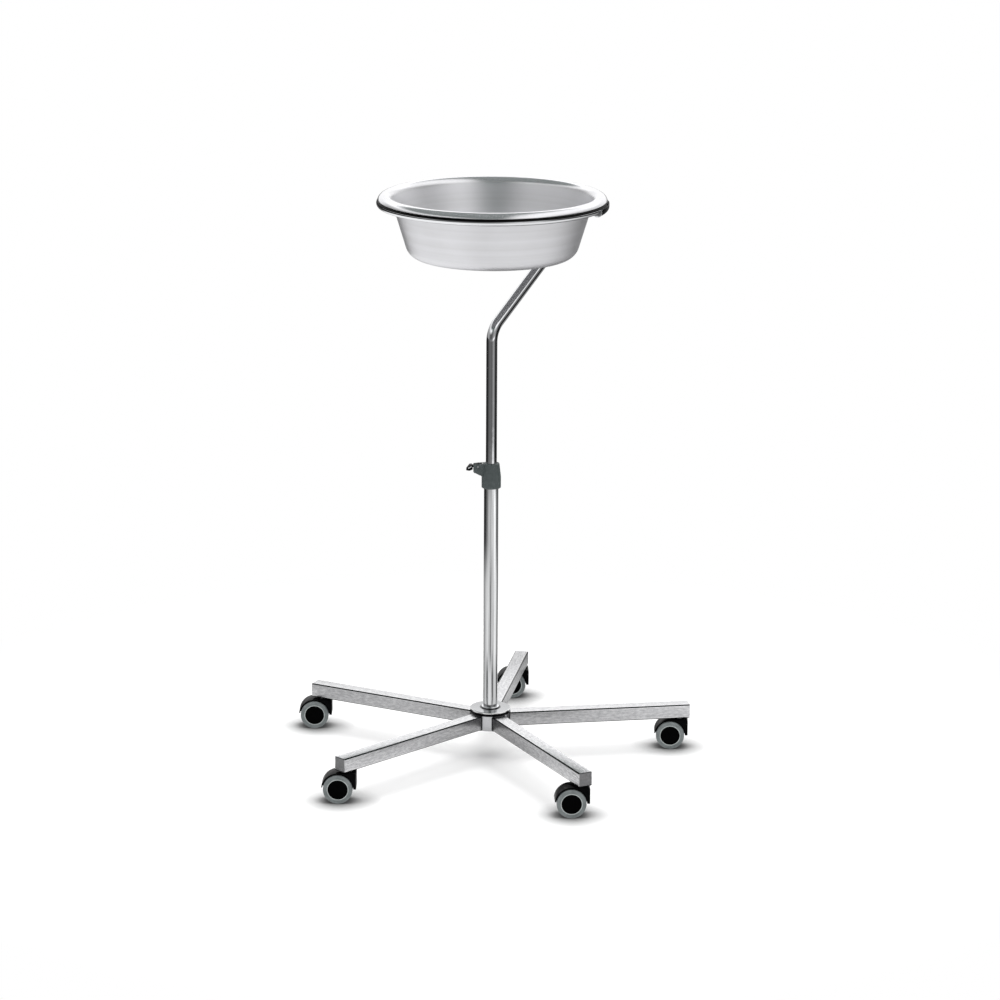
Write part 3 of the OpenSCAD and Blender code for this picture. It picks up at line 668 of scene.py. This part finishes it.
# %% Helpers for the ring
RING_R = 190.0
RING_TUBE_R = 6.0
JOINT_DROP = 4.0
JOINT_LIP = 1.5

ring_z = sum(heights("bowl_ring")) / 2


def choose(piece, kind, wanted):
    """Go into edit mode and select only what is wanted. The kind is EDGE or FACE."""
    pick(piece)
    bpy.ops.object.mode_set(mode="EDIT")
    bpy.ops.mesh.select_mode(type=kind)
    bpy.ops.mesh.select_all(action="DESELECT")
    mesh = bmesh.from_edit_mesh(piece.data)
    for element in mesh.edges if kind == "EDGE" else mesh.faces:
        if wanted(element):
            element.select_set(True)
    mesh.select_flush_mode()
    bmesh.update_edit_mesh(piece.data)


def use_modifier(piece, kind, **settings):
    """Add a modifier with its settings, and apply it."""
    pick(piece)
    bpy.ops.object.modifier_add(type=kind)
    modifier = piece.modifiers[-1]
    for name, value in settings.items():
        setattr(modifier, name, value)
    bpy.ops.object.modifier_apply(modifier=modifier.name)


def round_edges(piece, width, segments, angle):
    """Round the edges that are sharper than an angle in degrees, by a width in millimetres."""
    use_modifier(piece, "BEVEL", width=width * MM, segments=segments, limit_method="ANGLE",
                 angle_limit=radians(angle))


def spin_section(name, section, start, sweep, steps):
    """Spin a closed section round the ring's axis from a start angle, and close its two ends."""
    piece = draw_outline(name, [(RING_R + across, ring_z + up) for across, up in section + section[:1]])
    bpy.ops.mesh.spin(steps=steps, angle=radians(sweep), center=(0, 0, 0), axis=(0, 0, -1))
    bpy.ops.mesh.select_all(action="SELECT")
    bpy.ops.mesh.fill_holes(sides=0)
    tidy_skin()
    return settle(piece, Matrix.Rotation(radians(start), 4, "Z"))


def joint_section(wall):
    """The joint's section: a trough round the ring's lower half, with its own round bottom."""
    half = RING_TUBE_R + wall
    return (arc(0, -JOINT_DROP, half, 180, 360, 20) + [(half, JOINT_LIP), (RING_TUBE_R, JOINT_LIP)]
            + arc(0, 0, RING_TUBE_R, 0, -180, 20) + [(-RING_TUBE_R, JOINT_LIP), (-half, JOINT_LIP)])


# %% Ring
RING_GAP = 2
JOINT_TURN = -9
JOINT_ANGLE = 27
JOINT_WALL = 1.1
JOINT_EDGE = 0.35
CLIP_ANGLE = 0.7
CLIP_WALL = 1.8
CLIP_EDGE = 0.3
SHADE_LINE_LOW = 1.0

ring = spin_section("ring_tube", arc(0, 0, RING_TUBE_R, 0, 345, 23), JOINT_TURN + RING_GAP / 2,
                    360 - RING_GAP, 240)
smooth(ring)
ring.data.materials.append(polished_steel)
ring.data.materials.append(gap_shade_black)
# The faces above this height take the painted shade under the rim.
choose(ring, "FACE", lambda f: f.calc_center_median().z > (ring_z + SHADE_LINE_LOW) * MM)
ring.active_material_index = 1
bpy.ops.object.material_slot_assign()
bpy.ops.object.mode_set(mode="OBJECT")
dress(ring, "mast", "bright_steel", None, "bowl_ring")
joint_start = JOINT_TURN - JOINT_ANGLE / 2
ring_joint = spin_section("ring_joint_shell", joint_section(JOINT_WALL), joint_start, JOINT_ANGLE, 24)
round_edges(ring_joint, JOINT_EDGE, 3, 50)
smooth(ring_joint)
dress(ring_joint, "mast", "black_plastic", black_nylon, "ring_joint")
ring_clip = spin_section("ring_clip_band", joint_section(CLIP_WALL), joint_start - CLIP_ANGLE, CLIP_ANGLE, 2)
round_edges(ring_clip, CLIP_EDGE, 3, 50)
smooth(ring_clip)
dress(ring_clip, "mast", "bright_steel", polished_steel, "ring_clip")
print("ring:", 2 * (RING_R + RING_TUBE_R), "mm across")

# %% [markdown]
# ## The mast
# The mast is one 19 mm tube with two bends of 40 mm radius. A circle is pulled up along the straight runs
# and spun through the bends, as the tube runs through a bender. Its upper end is closed by a rounded weld
# under the ring.

# %% Mast
MAST_R = 9.5
MAST_BOTTOM = 262.0
BEND_HEIGHT = 763.0
BEND_R = 40.0
SLANT = 36
MAST_TURN = 50
MAST_CAP = 2.5

mast_way = Vector((cos(radians(MAST_TURN)), sin(radians(MAST_TURN)), 0))
mast_side = Vector((mast_way.y, -mast_way.x, 0))
bend_reach = BEND_R * tan(radians(90 - SLANT) / 2)
first_bend = BEND_HEIGHT - bend_reach
second_bend = BEND_HEIGHT + RING_R * tan(radians(SLANT)) + bend_reach
slant_way = mast_way * cos(radians(SLANT)) + Vector((0, 0, sin(radians(SLANT))))
slant_length = RING_R / cos(radians(SLANT)) - 2 * bend_reach

bpy.ops.object.select_all(action="DESELECT")
bpy.ops.mesh.primitive_circle_add(vertices=48, radius=MAST_R * MM, location=(0, 0, MAST_BOTTOM * MM))
mast = settle(bpy.context.object)
mast.name = "mast_tube"
bpy.ops.object.mode_set(mode="EDIT")
bpy.ops.mesh.select_all(action="SELECT")
pull((0, 0, (first_bend - MAST_BOTTOM) * MM))
bpy.ops.mesh.spin(steps=14, angle=radians(90 - SLANT), axis=mast_side,
                  center=(mast_way * BEND_R + Vector((0, 0, first_bend))) * MM)
pull(slant_way * slant_length * MM)
bpy.ops.mesh.spin(steps=14, angle=radians(90 - SLANT), axis=-mast_side,
                  center=(mast_way * (RING_R - BEND_R) + Vector((0, 0, second_bend))) * MM)
pull((0, 0, (ring_z - second_bend) * MM))
bpy.ops.mesh.select_all(action="SELECT")
bpy.ops.mesh.fill_holes(sides=0)
tidy_skin()
choose(mast, "EDGE", lambda e: all(abs(v.co.z - ring_z * MM) < 0.1 * MM for v in e.verts))
bpy.ops.mesh.bevel(offset=MAST_CAP * MM, segments=4)
smooth(mast)
dress(mast, "mast", "bright_steel", polished_steel, "mast")
print("mast:", round(slant_length + 2 * bend_reach, 1), "mm along the slant")

# %% [markdown]
# ## The column and its foot ring
# The column is a plain 25 mm tube. At its foot a thin bright ring covers the weld.

# %% Column
COLUMN_R = 12.5
COLUMN_BORE = 11.0
FOOT_RING_R = 15.5
FOOT_EDGE = 1.0

column_bottom, column_top = heights("column")
foot_low, foot_high = heights("column_ring")
column = lathe("column_tube", [(COLUMN_BORE, column_bottom), (COLUMN_R, column_bottom),
                               (COLUMN_R, column_top), (COLUMN_BORE, column_top),
                               (COLUMN_BORE, column_bottom)], 64)
dress(column, "base", "bright_steel", drawn_steel, "column")
foot_ring = lathe("foot_ring", [(COLUMN_R, foot_low)]
                  + arc(FOOT_RING_R - FOOT_EDGE, foot_low + FOOT_EDGE, FOOT_EDGE, -90, 0, 5)
                  + arc(FOOT_RING_R - FOOT_EDGE, foot_high - FOOT_EDGE, FOOT_EDGE, 0, 90, 5)
                  + [(COLUMN_R, foot_high), (COLUMN_R, foot_low)], 64)
dress(foot_ring, "base", "bright_steel", polished_steel, "column_ring")
print("column:", column_top - column_bottom, "mm long")

# %% [markdown]
# ## The hub
# The hub is a turned boss, taller than the arms that are welded into its side. Its edges are rounded, and
# a low lip runs round its foot. Round each arm runs a thin weld: a rounded square path laid on the hub's
# side, with a round bead along it. It is drawn once and copied to each arm.


# %% Helpers for copies
def copy_to(pattern, name, matrix):
    """Copy a pattern, with a mesh of its own, to a new place and turn."""
    pick(pattern)
    bpy.ops.object.duplicate()
    twin = bpy.context.object
    twin.name = name
    return settle(twin, matrix)


def copy_each(pattern, name, places):
    """Put a numbered copy of a pattern at each place, and remove the pattern."""
    copies = [copy_to(pattern, f"{name}_{k + 1}", place) for k, place in enumerate(places)]
    bpy.data.objects.remove(pattern)
    return copies


def join(name, pieces):
    """Join several pieces to one."""
    pick(pieces[0])
    for piece in pieces:
        piece.select_set(True)
    bpy.ops.object.join()
    pieces[0].name = name
    return pieces[0]


# %% Hub
HUB_R = 35.0
HUB_EDGE = 1.2
LIP_DROP = 1.2
LIP_W = 3.0
LIP_SLOPE = 0.5
WELD_R = 0.9
WELD_ROOM = 0.2
WELD_OUT = 0.1
ARM_TURN = 8.6
ARM_COUNT = 5

hub_bottom, hub_top = heights("hub")
lip_bottom = hub_bottom - LIP_DROP
hub = lathe("hub_boss", [(COLUMN_R, hub_bottom), (HUB_R - LIP_W, hub_bottom),
                         (HUB_R - LIP_W + LIP_SLOPE, lip_bottom)]
            + arc(HUB_R - HUB_EDGE, lip_bottom + HUB_EDGE, HUB_EDGE, -90, 0, 6)
            + arc(HUB_R - HUB_EDGE, hub_top - HUB_EDGE, HUB_EDGE, 0, 90, 6)
            + [(COLUMN_R, hub_top), (COLUMN_R, hub_bottom)], 128)
hub.data.materials.append(hub_steel)

arm_turns = [Matrix.Rotation(radians(ARM_TURN + 360 / ARM_COUNT * k), 4, "Z") for k in range(ARM_COUNT)]
half = TUBE_W / 2 + WELD_ROOM
seam = []
for k, (side, up) in enumerate(((1, 1), (-1, 1), (-1, -1), (1, -1))):
    seam += arc((half - CORNER_R) * side, (half - CORNER_R) * up, CORNER_R, 90 * k, 90 * k + 90, 4)
    seam += arc(0, 0, half, 90 * k + 90, 90 * k + 90, 1)[:1]
seam_path = [(((HUB_R + WELD_OUT) ** 2 - side ** 2) ** 0.5, side, hub_bottom + TUBE_W / 2 + up)
             for side, up in seam + seam[:1]]
weld = draw_path("weld_pattern", seam_path)
bpy.ops.mesh.remove_doubles(threshold=0.002 * MM)
pick(weld)
bpy.ops.object.convert(target="CURVE")
weld.data.bevel_depth = WELD_R * MM
weld.data.bevel_resolution = 3
bpy.ops.object.convert(target="MESH")
smooth(weld, 60)
weld.data.materials.append(weld_steel)
hub = join("hub_boss", [hub] + copy_each(weld, "weld_bead", arm_turns))
dress(hub, "base", "satin_steel", None, "hub")
print("hub:", 2 * HUB_R, "mm across and", hub_top - hub_bottom, "mm high")

# %% [markdown]
# ## The arms
# Each arm is a square tube, open at its outer end. One tube is modelled along X: a cube takes its four
# long corners from a bevel, its end face is inset by the wall and pushed in, and the end's edge is eased
# a little, as a deburred cut is. The cube projection lays its UV map out in metres before the tube is
# turned to its place.

# %% Arms
ARM_WALL = 1.5
ARM_REACH = 355.0
ARM_START = 30.0
TUBE_DEPTH = 14.0
CUT_EDGE = 0.25
UV_STEP = 3.0


def box(name, low, high, turn=Matrix()):
    """A plain block between two corners in millimetres, put at its place by a last turn."""
    middle = [(here + there) / 2 * MM for here, there in zip(low, high)]
    size = [(there - here) * MM for here, there in zip(low, high)]
    bpy.ops.object.select_all(action="DESELECT")
    bpy.ops.mesh.primitive_cube_add(size=1)
    piece = settle(bpy.context.object, turn @ Matrix.Translation(middle) @ Matrix.Diagonal(size + [1]))
    piece.name = name
    return piece


def square_bar(name, start, end, width, corner, segments, wall):
    """A square bar along X with rounded long corners and its outer end inset by a wall, in edit mode."""
    bar = box(name, (start, -width / 2, -width / 2), (end, width / 2, width / 2))
    choose(bar, "EDGE", lambda e: abs(e.verts[0].co.x - e.verts[1].co.x) > MM)
    bpy.ops.mesh.bevel(offset=corner * MM, segments=segments)
    choose(bar, "FACE", lambda f: f.normal.x > 0.9)
    bpy.ops.mesh.inset(thickness=wall * MM)
    return bar


arm_bottom, arm_top = heights("arm_1")
arm_places = [turn @ Matrix.Translation((0, 0, (arm_bottom + arm_top) / 2 * MM)) for turn in arm_turns]
arm = square_bar("arm_pattern", ARM_START, ARM_REACH, TUBE_W, CORNER_R, 6, ARM_WALL)
pull((-TUBE_DEPTH * MM, 0, 0))
choose(arm, "EDGE", lambda e: all(v.co.x > (ARM_REACH - CUT_EDGE) * MM for v in e.verts)
       and len(e.link_faces) == 2 and abs(e.link_faces[0].normal.x - e.link_faces[1].normal.x) > 0.9)
bpy.ops.mesh.bevel(offset=CUT_EDGE * MM, segments=2)
bpy.ops.mesh.select_all(action="SELECT")
bpy.ops.uv.cube_project(cube_size=1.0)
smooth(arm, 50)

for k, piece in enumerate(copy_each(arm, "arm_tube", arm_places)):
    for corner in piece.data.uv_layers.active.data:
        corner.uv.x += UV_STEP * k
    dress(piece, "base", "satin_steel", ground_steel, f"arm_{k + 1}")
print("arms:", ARM_COUNT, "tubes", ARM_REACH, "mm from the column's axis")

# %% [markdown]
# ## The end plugs
# A grey plastic plug closes each arm, 0.6 mm inside the cut. It has an eased edge and, in the middle of its
# face, the small round mark of the moulding gate.

# %% End plugs
PLUG_INSET = 0.6
PLUG_DEPTH = 8.0
PLUG_W = TUBE_W - 2 * ARM_WALL
PLUG_CORNER = 1.0
PLUG_BORDER = 0.5
PLUG_EDGE = 0.4
GATE_MARK = [(0, 0.02), (1.2, 0.02), (1.4, 0.14), (1.6, 0.0)]

plug_x = ARM_REACH - PLUG_INSET
plug = square_bar("plug_pattern", plug_x - PLUG_DEPTH, plug_x, PLUG_W, PLUG_CORNER, 4, PLUG_BORDER)
choose(plug, "EDGE", lambda e: all(abs(v.co.x - plug_x * MM) < 0.01 * MM for v in e.verts)
       and min(f.normal.x for f in e.link_faces) < 0.1)
bpy.ops.mesh.bevel(offset=PLUG_EDGE * MM, segments=3)
smooth(plug)
gate = settle(lathe("gate_mark", GATE_MARK, 24),
              Matrix.Translation((plug_x * MM, 0, 0)) @ Matrix.Rotation(pi / 2, 4, "Y"))
plug = join("plug_pattern", [plug, gate])
plugs = join("arm_end_plugs", copy_each(plug, "plug", arm_places))
dress(plugs, "base", "grey_plastic", grey_polyethylene, "arm_plugs")
print("end plugs:", ARM_COUNT)

# %% [markdown]
# ## The castors
# A twin-wheel castor is a moulded hood over two wheels, with a web between them that carries the axle. The
# hood's side view is drawn as a C round the wheels and pulled to its width, the web is a second, thinner
# slab, and a bevel rounds every edge. It is modelled once with the stem at the origin and the wheels
# trailing along X, then copied to each stem and turned as that castor stands in the photograph.

# %% Castor hoods
STEM_REACH = 338.2
TRAIL = 15.5
AXLE_Z = 25.0
HOOD_R = 28.3
HOOD_BORE = 26.1
HOOD_BACK = 15.5
HOOD_HALF = 16.0
HOOD_ROUND = 3.0
HOOD_LIFT = 3.0
HOOD_EDGE = 0.9
WEB_W = 13.0
WEB_DEEP = 1.0
WEB_EDGE = 0.5
BOSS_R = 8.0
STEM_BOSS = 6.5
STEM_FOOT = 19.0


def slab(name, outline, width):
    """Fill an outline and pull it to a width, in millimetres, half to each side of Y."""
    piece = draw_outline(name, outline + outline[:1])
    bpy.ops.mesh.edge_face_add()
    bpy.ops.transform.translate(value=(0, -width * MM / 2, 0))
    pull((0, width * MM, 0))
    tidy_skin()
    bpy.ops.object.mode_set(mode="OBJECT")
    return piece


hood_top = AXLE_Z + HOOD_R
web_low = HOOD_LIFT + WEB_DEEP / 2
web_r = HOOD_R - WEB_DEEP
hood = slab("hood_pattern", arc(TRAIL, AXLE_Z, HOOD_R, degrees(asin(HOOD_LIFT / HOOD_R)), 90, 24)
            + arc(HOOD_ROUND - HOOD_BACK, hood_top - HOOD_ROUND, HOOD_ROUND, 90, 180, 8)
            + [(-HOOD_BACK, AXLE_Z)]
            + arc(TRAIL, AXLE_Z, HOOD_BORE, 180, degrees(asin(HOOD_LIFT / HOOD_BORE)), 44), 2 * HOOD_HALF)
round_edges(hood, HOOD_EDGE, 4, 60)
smooth(hood)
boss_start = 180 + degrees(asin((AXLE_Z - STEM_FOOT) / BOSS_R))
boss_end = 360 + degrees(asin(web_low / BOSS_R))
web = slab("web_pattern", arc(TRAIL, AXLE_Z, web_r, degrees(asin(web_low / web_r)), 90, 24)
           + [(WEB_DEEP - HOOD_BACK, hood_top - WEB_DEEP), (WEB_DEEP - HOOD_BACK, AXLE_Z + WEB_DEEP / 2),
              (-STEM_BOSS, AXLE_Z + WEB_DEEP / 2), (-STEM_BOSS, STEM_FOOT)]
           + arc(TRAIL, AXLE_Z, BOSS_R, boss_start, boss_end, 24), WEB_W)
round_edges(web, WEB_EDGE, 3, 60)
smooth(web)
hood = join("hood_pattern", [hood, web])

stems = [turn @ Vector((STEM_REACH * MM, 0, 0)) for turn in arm_turns]
castors = []
for k, stem in enumerate(stems):
    trail = Vector(joints[f"wheel_{k + 1}_a_spin"]["pos_m"]) - stem
    castors.append(Matrix.Translation(stem) @ Matrix.Rotation(atan2(trail.y, trail.x), 4, "Z"))
for k, piece in enumerate(copy_each(hood, "castor_hood_shell", castors)):
    dress(piece, f"castor_{k + 1}", "black_plastic", black_nylon, f"castor_hood_{k + 1}")
print("castor hoods:", len(castors), "and their trail is", TRAIL, "mm")

# %% [markdown]
# ## The castors' stems
# Each castor hangs on a turned stem. Between the hood and the arm only its flange shows, with a rounded
# edge. The stem goes up into the arm's socket and its thinner end goes down into the hood.

# %% Stems
STEM_R = 5.5
STEM_PIN_R = 4.0
STEM_PIN_FOOT = 22.0
FLANGE_R = 10.0
FLANGE_T = 1.8
FLANGE_EDGE = 0.7
STEM_TOP = 22.0

flange_bottom = arm_bottom - FLANGE_T
stem = lathe("stem_pattern", [(0, STEM_PIN_FOOT), (STEM_PIN_R, STEM_PIN_FOOT), (STEM_PIN_R, flange_bottom)]
             + arc(FLANGE_R - FLANGE_EDGE, flange_bottom + FLANGE_EDGE, FLANGE_EDGE, -90, 0, 4)
             + [(FLANGE_R, arm_bottom), (STEM_R, arm_bottom), (STEM_R, arm_bottom + STEM_TOP),
                (0, arm_bottom + STEM_TOP)], 40)
stem_set = join("castor_stem_set", copy_each(stem, "stem", [Matrix.Translation(place) for place in stems]))
dress(stem_set, "base", "plain_steel", turned_steel, "castor_stems")
print("stems:", len(stems))

# %% [markdown]
# ## The wheels
# A wheel is a black moulded core with a grey tread cast round it. The tread is a ring with rounded
# shoulders, and a thin lip stands where it meets the core, coloured lighter as a painted highlight. The
# core's outer face is a shallow cap with a stepped edge and a round hub. The cap is drawn by pairs of a
# radius and a depth under the face.
# Core and tread are turned once and copied to both ends of each axle.

# %% Wheels
WHEEL_R = 25.0
CORE_R = 17.0
WHEEL_INNER = 7.0
WHEEL_FACE = 18.5
SHOULDER = 2.5
BORE_R = 3.1
LIP = 1.5
LIP_SEAT = 0.3
TREAD_FIT = 0.1
CAP_EDGE = 0.5
CAP = [(15.4, 0.4), (15.0, 1.0), (11.5, 0.75), (8.0, 0.55), (7.2, 0.6), (6.8, 0.25), (5.0, 0.12), (2.5, 0.04),
       (0, 0)]

tread_bore = CORE_R + TREAD_FIT
tread = lathe("tread_pattern", [(CORE_R, WHEEL_INNER)]
              + arc(WHEEL_R - SHOULDER, WHEEL_INNER + SHOULDER, SHOULDER, -90, 0, 8)
              + arc(WHEEL_R - SHOULDER, WHEEL_FACE - SHOULDER, SHOULDER, 0, 80, 8)
              + [(CORE_R + LIP, WHEEL_FACE - LIP_SEAT), (tread_bore, WHEEL_FACE - LIP_SEAT),
                 (tread_bore, WHEEL_INNER)], 96, 35)
tread.data.materials.append(grey_tread)
lip = lathe("lip_pattern", arc(CORE_R + LIP / 2, WHEEL_FACE - LIP / 2, LIP / 2, -90, 270, 12), 96, 60)
# The lip's lighter colour is a painted highlight.
lip.data.materials.append(lip_highlight_tone)
tread = join("tread_pattern", [tread, lip])
core = lathe("core_pattern", [(BORE_R, WHEEL_INNER), (CORE_R, WHEEL_INNER),
                              (CORE_R, WHEEL_FACE - 2 * CAP_EDGE)]
             + arc(CORE_R - TREAD_FIT - CAP_EDGE, WHEEL_FACE + TREAD_FIT - 2 * CAP_EDGE, CAP_EDGE, 0, 90, 4)
             + [(r, WHEEL_FACE - depth) for r, depth in CAP], 72, 25)
core.data.materials.append(matt_nylon)
for k, castor in enumerate(castors):
    for side, tilt in (("a", pi / 2), ("b", -pi / 2)):
        end = castor @ Matrix.Translation((TRAIL * MM, 0, AXLE_Z * MM)) @ Matrix.Rotation(tilt, 4, "X")
        wheel = f"{k + 1}_{side}"
        piece = copy_to(core, f"core_cap_{wheel}", end)
        dress(piece, f"wheel_{wheel}", "black_plastic", None, f"wheel_core_{wheel}")
        piece = copy_to(tread, f"tread_tyre_{wheel}", end)
        dress(piece, f"wheel_{wheel}", "tread_rubber", None, f"wheel_tread_{wheel}")
bpy.data.objects.remove(tread)
bpy.data.objects.remove(core)
print("wheels:", 2 * len(castors))

# %% [markdown]
# ## The clamp
# The clamp is a moulded collar that grips the column's top. Its upper half narrows to the mast, and an ear
# at the left carries the lever. The collar is turned, the ear is a slab with its corners rounded, and a
# boolean cuts the lever's slot and the pin's hole.

# %% Clamp collar
CLAMP_BOTTOM = 486.5
CLAMP_TOP = 530.0
CLAMP_R = 16.7
CLAMP_TOP_R = 14.1
CLAMP_TAPER = 24.0
CLAMP_DRAFT = 6
CLAMP_ROUND = 1.5
CLAMP_EASE = 0.6
MAST_FIT = 0.1
BUSH_LIP = 2

bush_top = column_top + BUSH_LIP
mast_bore = MAST_R + MAST_FIT
collar = lathe("collar", [(COLUMN_R, CLAMP_BOTTOM + CLAMP_EASE), (COLUMN_R + CLAMP_EASE, CLAMP_BOTTOM)]
               + arc(CLAMP_R - CLAMP_ROUND, CLAMP_BOTTOM + CLAMP_ROUND, CLAMP_ROUND, -90, 0, 6)
               + [(CLAMP_R, CLAMP_TOP - CLAMP_TAPER)]
               + arc(CLAMP_TOP_R - CLAMP_ROUND, CLAMP_TOP - CLAMP_ROUND, CLAMP_ROUND, CLAMP_DRAFT, 90, 6)
               + [(mast_bore + CLAMP_EASE, CLAMP_TOP), (mast_bore, CLAMP_TOP - CLAMP_EASE),
                  (mast_bore, bush_top), (COLUMN_R, bush_top), (COLUMN_R, CLAMP_BOTTOM + CLAMP_EASE)], 96, 35)
print("clamp:", CLAMP_TOP - CLAMP_BOTTOM, "mm high")

# %% Clamp ear
EAR_REACH = 31.0
EAR_W = 16.0
EAR_TOP = 528.0
EAR_BOTTOM = 511.5
EAR_SLOPE = 1.8
EAR_ROUND = 4.0
EAR_TIP = 1.5
EAR_EDGE = 0.6
EAR_SINK = 0.5
EAR_ROOT_X = -12.8
EAR_NECK_X = -10.5
EAR_ROOM = 0.2
PIN_X = -23.0
PIN_Z = 524.4
PIN_R = 2.0
PIN_HALF = 7.8
PIN_EDGE = 0.4
PIN_ROOM = 0.15
SLOT_W = 8.6
SLOT_END = -16.4
SLOT_FLOOR = 517.8
CUT_PAST = 1

ear_low = EAR_BOTTOM - EAR_SLOPE - EAR_ROUND
ear = slab("ear", [(EAR_ROOT_X, ear_low)]
           + arc(EAR_SINK - CLAMP_R - EAR_ROUND, ear_low, EAR_ROUND, 0, 90, 8)
           + arc(EAR_ROUND - EAR_REACH, EAR_BOTTOM + EAR_SLOPE + EAR_ROUND, EAR_ROUND, 270, 180, 8)
           + arc(EAR_TIP - EAR_REACH, EAR_TOP - EAR_TIP, EAR_TIP, 180, 90, 5)
           + [(-CLAMP_TOP_R, CLAMP_TOP - CLAMP_EASE), (EAR_NECK_X, CLAMP_TOP - CLAMP_EASE),
              (EAR_NECK_X, bush_top + EAR_ROOM), (EAR_ROOT_X, bush_top + EAR_ROOM)], EAR_W)
bpy.ops.mesh.primitive_cube_add(
    size=1, location=((SLOT_END - EAR_REACH - CUT_PAST) / 2 * MM, 0, (SLOT_FLOOR + CLAMP_TOP) / 2 * MM),
    scale=((EAR_REACH + CUT_PAST + SLOT_END) * MM, SLOT_W * MM, (CLAMP_TOP - SLOT_FLOOR) * MM))
slot_cutter = bpy.context.object
bpy.ops.mesh.primitive_cylinder_add(
    vertices=32, radius=(PIN_R + PIN_ROOM) * MM, depth=(EAR_W + 2 * CUT_PAST) * MM,
    location=(PIN_X * MM, 0, PIN_Z * MM), rotation=(pi / 2, 0, 0))
pin_cutter = bpy.context.object
for cutter in (slot_cutter, pin_cutter):
    use_modifier(ear, "BOOLEAN", object=cutter, operation="DIFFERENCE", solver="EXACT")
    bpy.data.objects.remove(cutter)
round_edges(ear, EAR_EDGE, 3, 65)
smooth(ear)
clamp = join("clamp_collar", [collar, ear])
dress(clamp, "base", "slate_plastic", slate_nylon, "clamp_body")
pin = lathe("lever_pivot", [(0, -PIN_HALF), (PIN_R - PIN_EDGE, -PIN_HALF), (PIN_R, PIN_EDGE - PIN_HALF),
                            (PIN_R, PIN_HALF - PIN_EDGE), (PIN_R - PIN_EDGE, PIN_HALF), (0, PIN_HALF)], 32)
settle(pin, Matrix.Translation((PIN_X * MM, 0, PIN_Z * MM)) @ Matrix.Rotation(pi / 2, 4, "X"))
dress(pin, "base", "plain_steel", turned_steel, "lever_pin")
print("ear:", EAR_REACH, "mm from the mast's axis")

# %% [markdown]
# ## The clamp's lever
# The lever is a small hooked grip on a round cam. Its side view is drawn with the pin at the origin and
# pulled to the grip's width, and the cam with its bar is a narrower slab in the ear's slot. A slanting
# strip of bright steel lies in the grip's front.

# %% Lever
GRIP_HALF = 7.0
GRIP_CORNERS = [(6.9, 2.9), (5.6, 2.4), (0.4, -4.4), (0, -5.2), (0.8, -6.2), (5.6, -7), (10.8, -5.2),
                (11.6, -3.6), (10.4, 1), (10.2, 2.4), (9.4, 2.9)]
GRIP_EDGE = 0.9
LEVER_REACH = 20.4
CAM_R = 5.6
CAM_THROW = 0.7
CAM_W = 8.0
CAM_EDGE = 0.5
BAR_START = -13.4
BAR_LOW = -1.4
BAR_HIGH = 2.4
STRIP_START = (-16.2, -3.5)
STRIP_TILT = 32
STRIP_L = 7.0
STRIP_T = 2.3
STRIP_W = 3.5
STRIP_EDGE = 0.35
STRIP_PROUD = 0.15

grip = slab("grip", [(PIN_X - LEVER_REACH + across, PIN_Z + up) for across, up in GRIP_CORNERS],
            2 * GRIP_HALF)
round_edges(grip, GRIP_EDGE, 4, 20)
strip_turn = (Matrix.Translation(((PIN_X + STRIP_START[0]) * MM, 0, (PIN_Z + STRIP_START[1]) * MM))
              @ Matrix.Rotation(-radians(STRIP_TILT), 4, "Y"))
strip = box("lever_bright_strip", (0, -GRIP_HALF, 0), (STRIP_L, STRIP_W - GRIP_HALF, STRIP_T), strip_turn)
seat = copy_to(strip, "strip_seat", Matrix.Translation((0, -STRIP_PROUD * MM, 0)))
use_modifier(grip, "BOOLEAN", object=seat, operation="DIFFERENCE", solver="EXACT")
bpy.data.objects.remove(seat)
smooth(grip, 35)
round_edges(strip, STRIP_EDGE, 3, 30)
smooth(strip)
dress(strip, "lever", "bright_steel", polished_steel, "lever_strip")
cam = slab("cam", arc(PIN_X + CAM_THROW, PIN_Z, CAM_R, 180 - degrees(asin(BAR_HIGH / CAM_R)),
                      -180 - degrees(asin(BAR_LOW / CAM_R)), 36)
           + [(PIN_X + BAR_START, PIN_Z + BAR_LOW), (PIN_X + BAR_START, PIN_Z + BAR_HIGH)], CAM_W)
round_edges(cam, CAM_EDGE, 3, 60)
smooth(cam)
lever = join("clamp_lever_grip", [grip, cam])
dress(lever, "lever", "black_plastic", black_nylon, "clamp_lever")
print("lever:", LEVER_REACH, "mm from its pin to the tip")

# %% [markdown]
# ## Parts that stay hidden
# The guide bushes, the plugs, the stems' sockets and the axles hardly show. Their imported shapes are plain
# turned or moulded solids already, so they only get the finish of their material.

# %% Hidden parts
HIDDEN = {
    "stem_sockets": turned_steel, "mast_keeper": turned_steel, "column_plug": grey_polyethylene,
    "column_bush": acetal, "mast_bush": acetal, "mast_plug": acetal, "clamp_shoe": acetal,
}
HIDDEN.update({f"castor_axle_{k + 1}": turned_steel for k in range(ARM_COUNT)})
for node, finish in HIDDEN.items():
    cad_nodes[node].data.materials.clear()
    cad_nodes[node].data.materials.append(finish)
print("hidden parts:", len(HIDDEN))
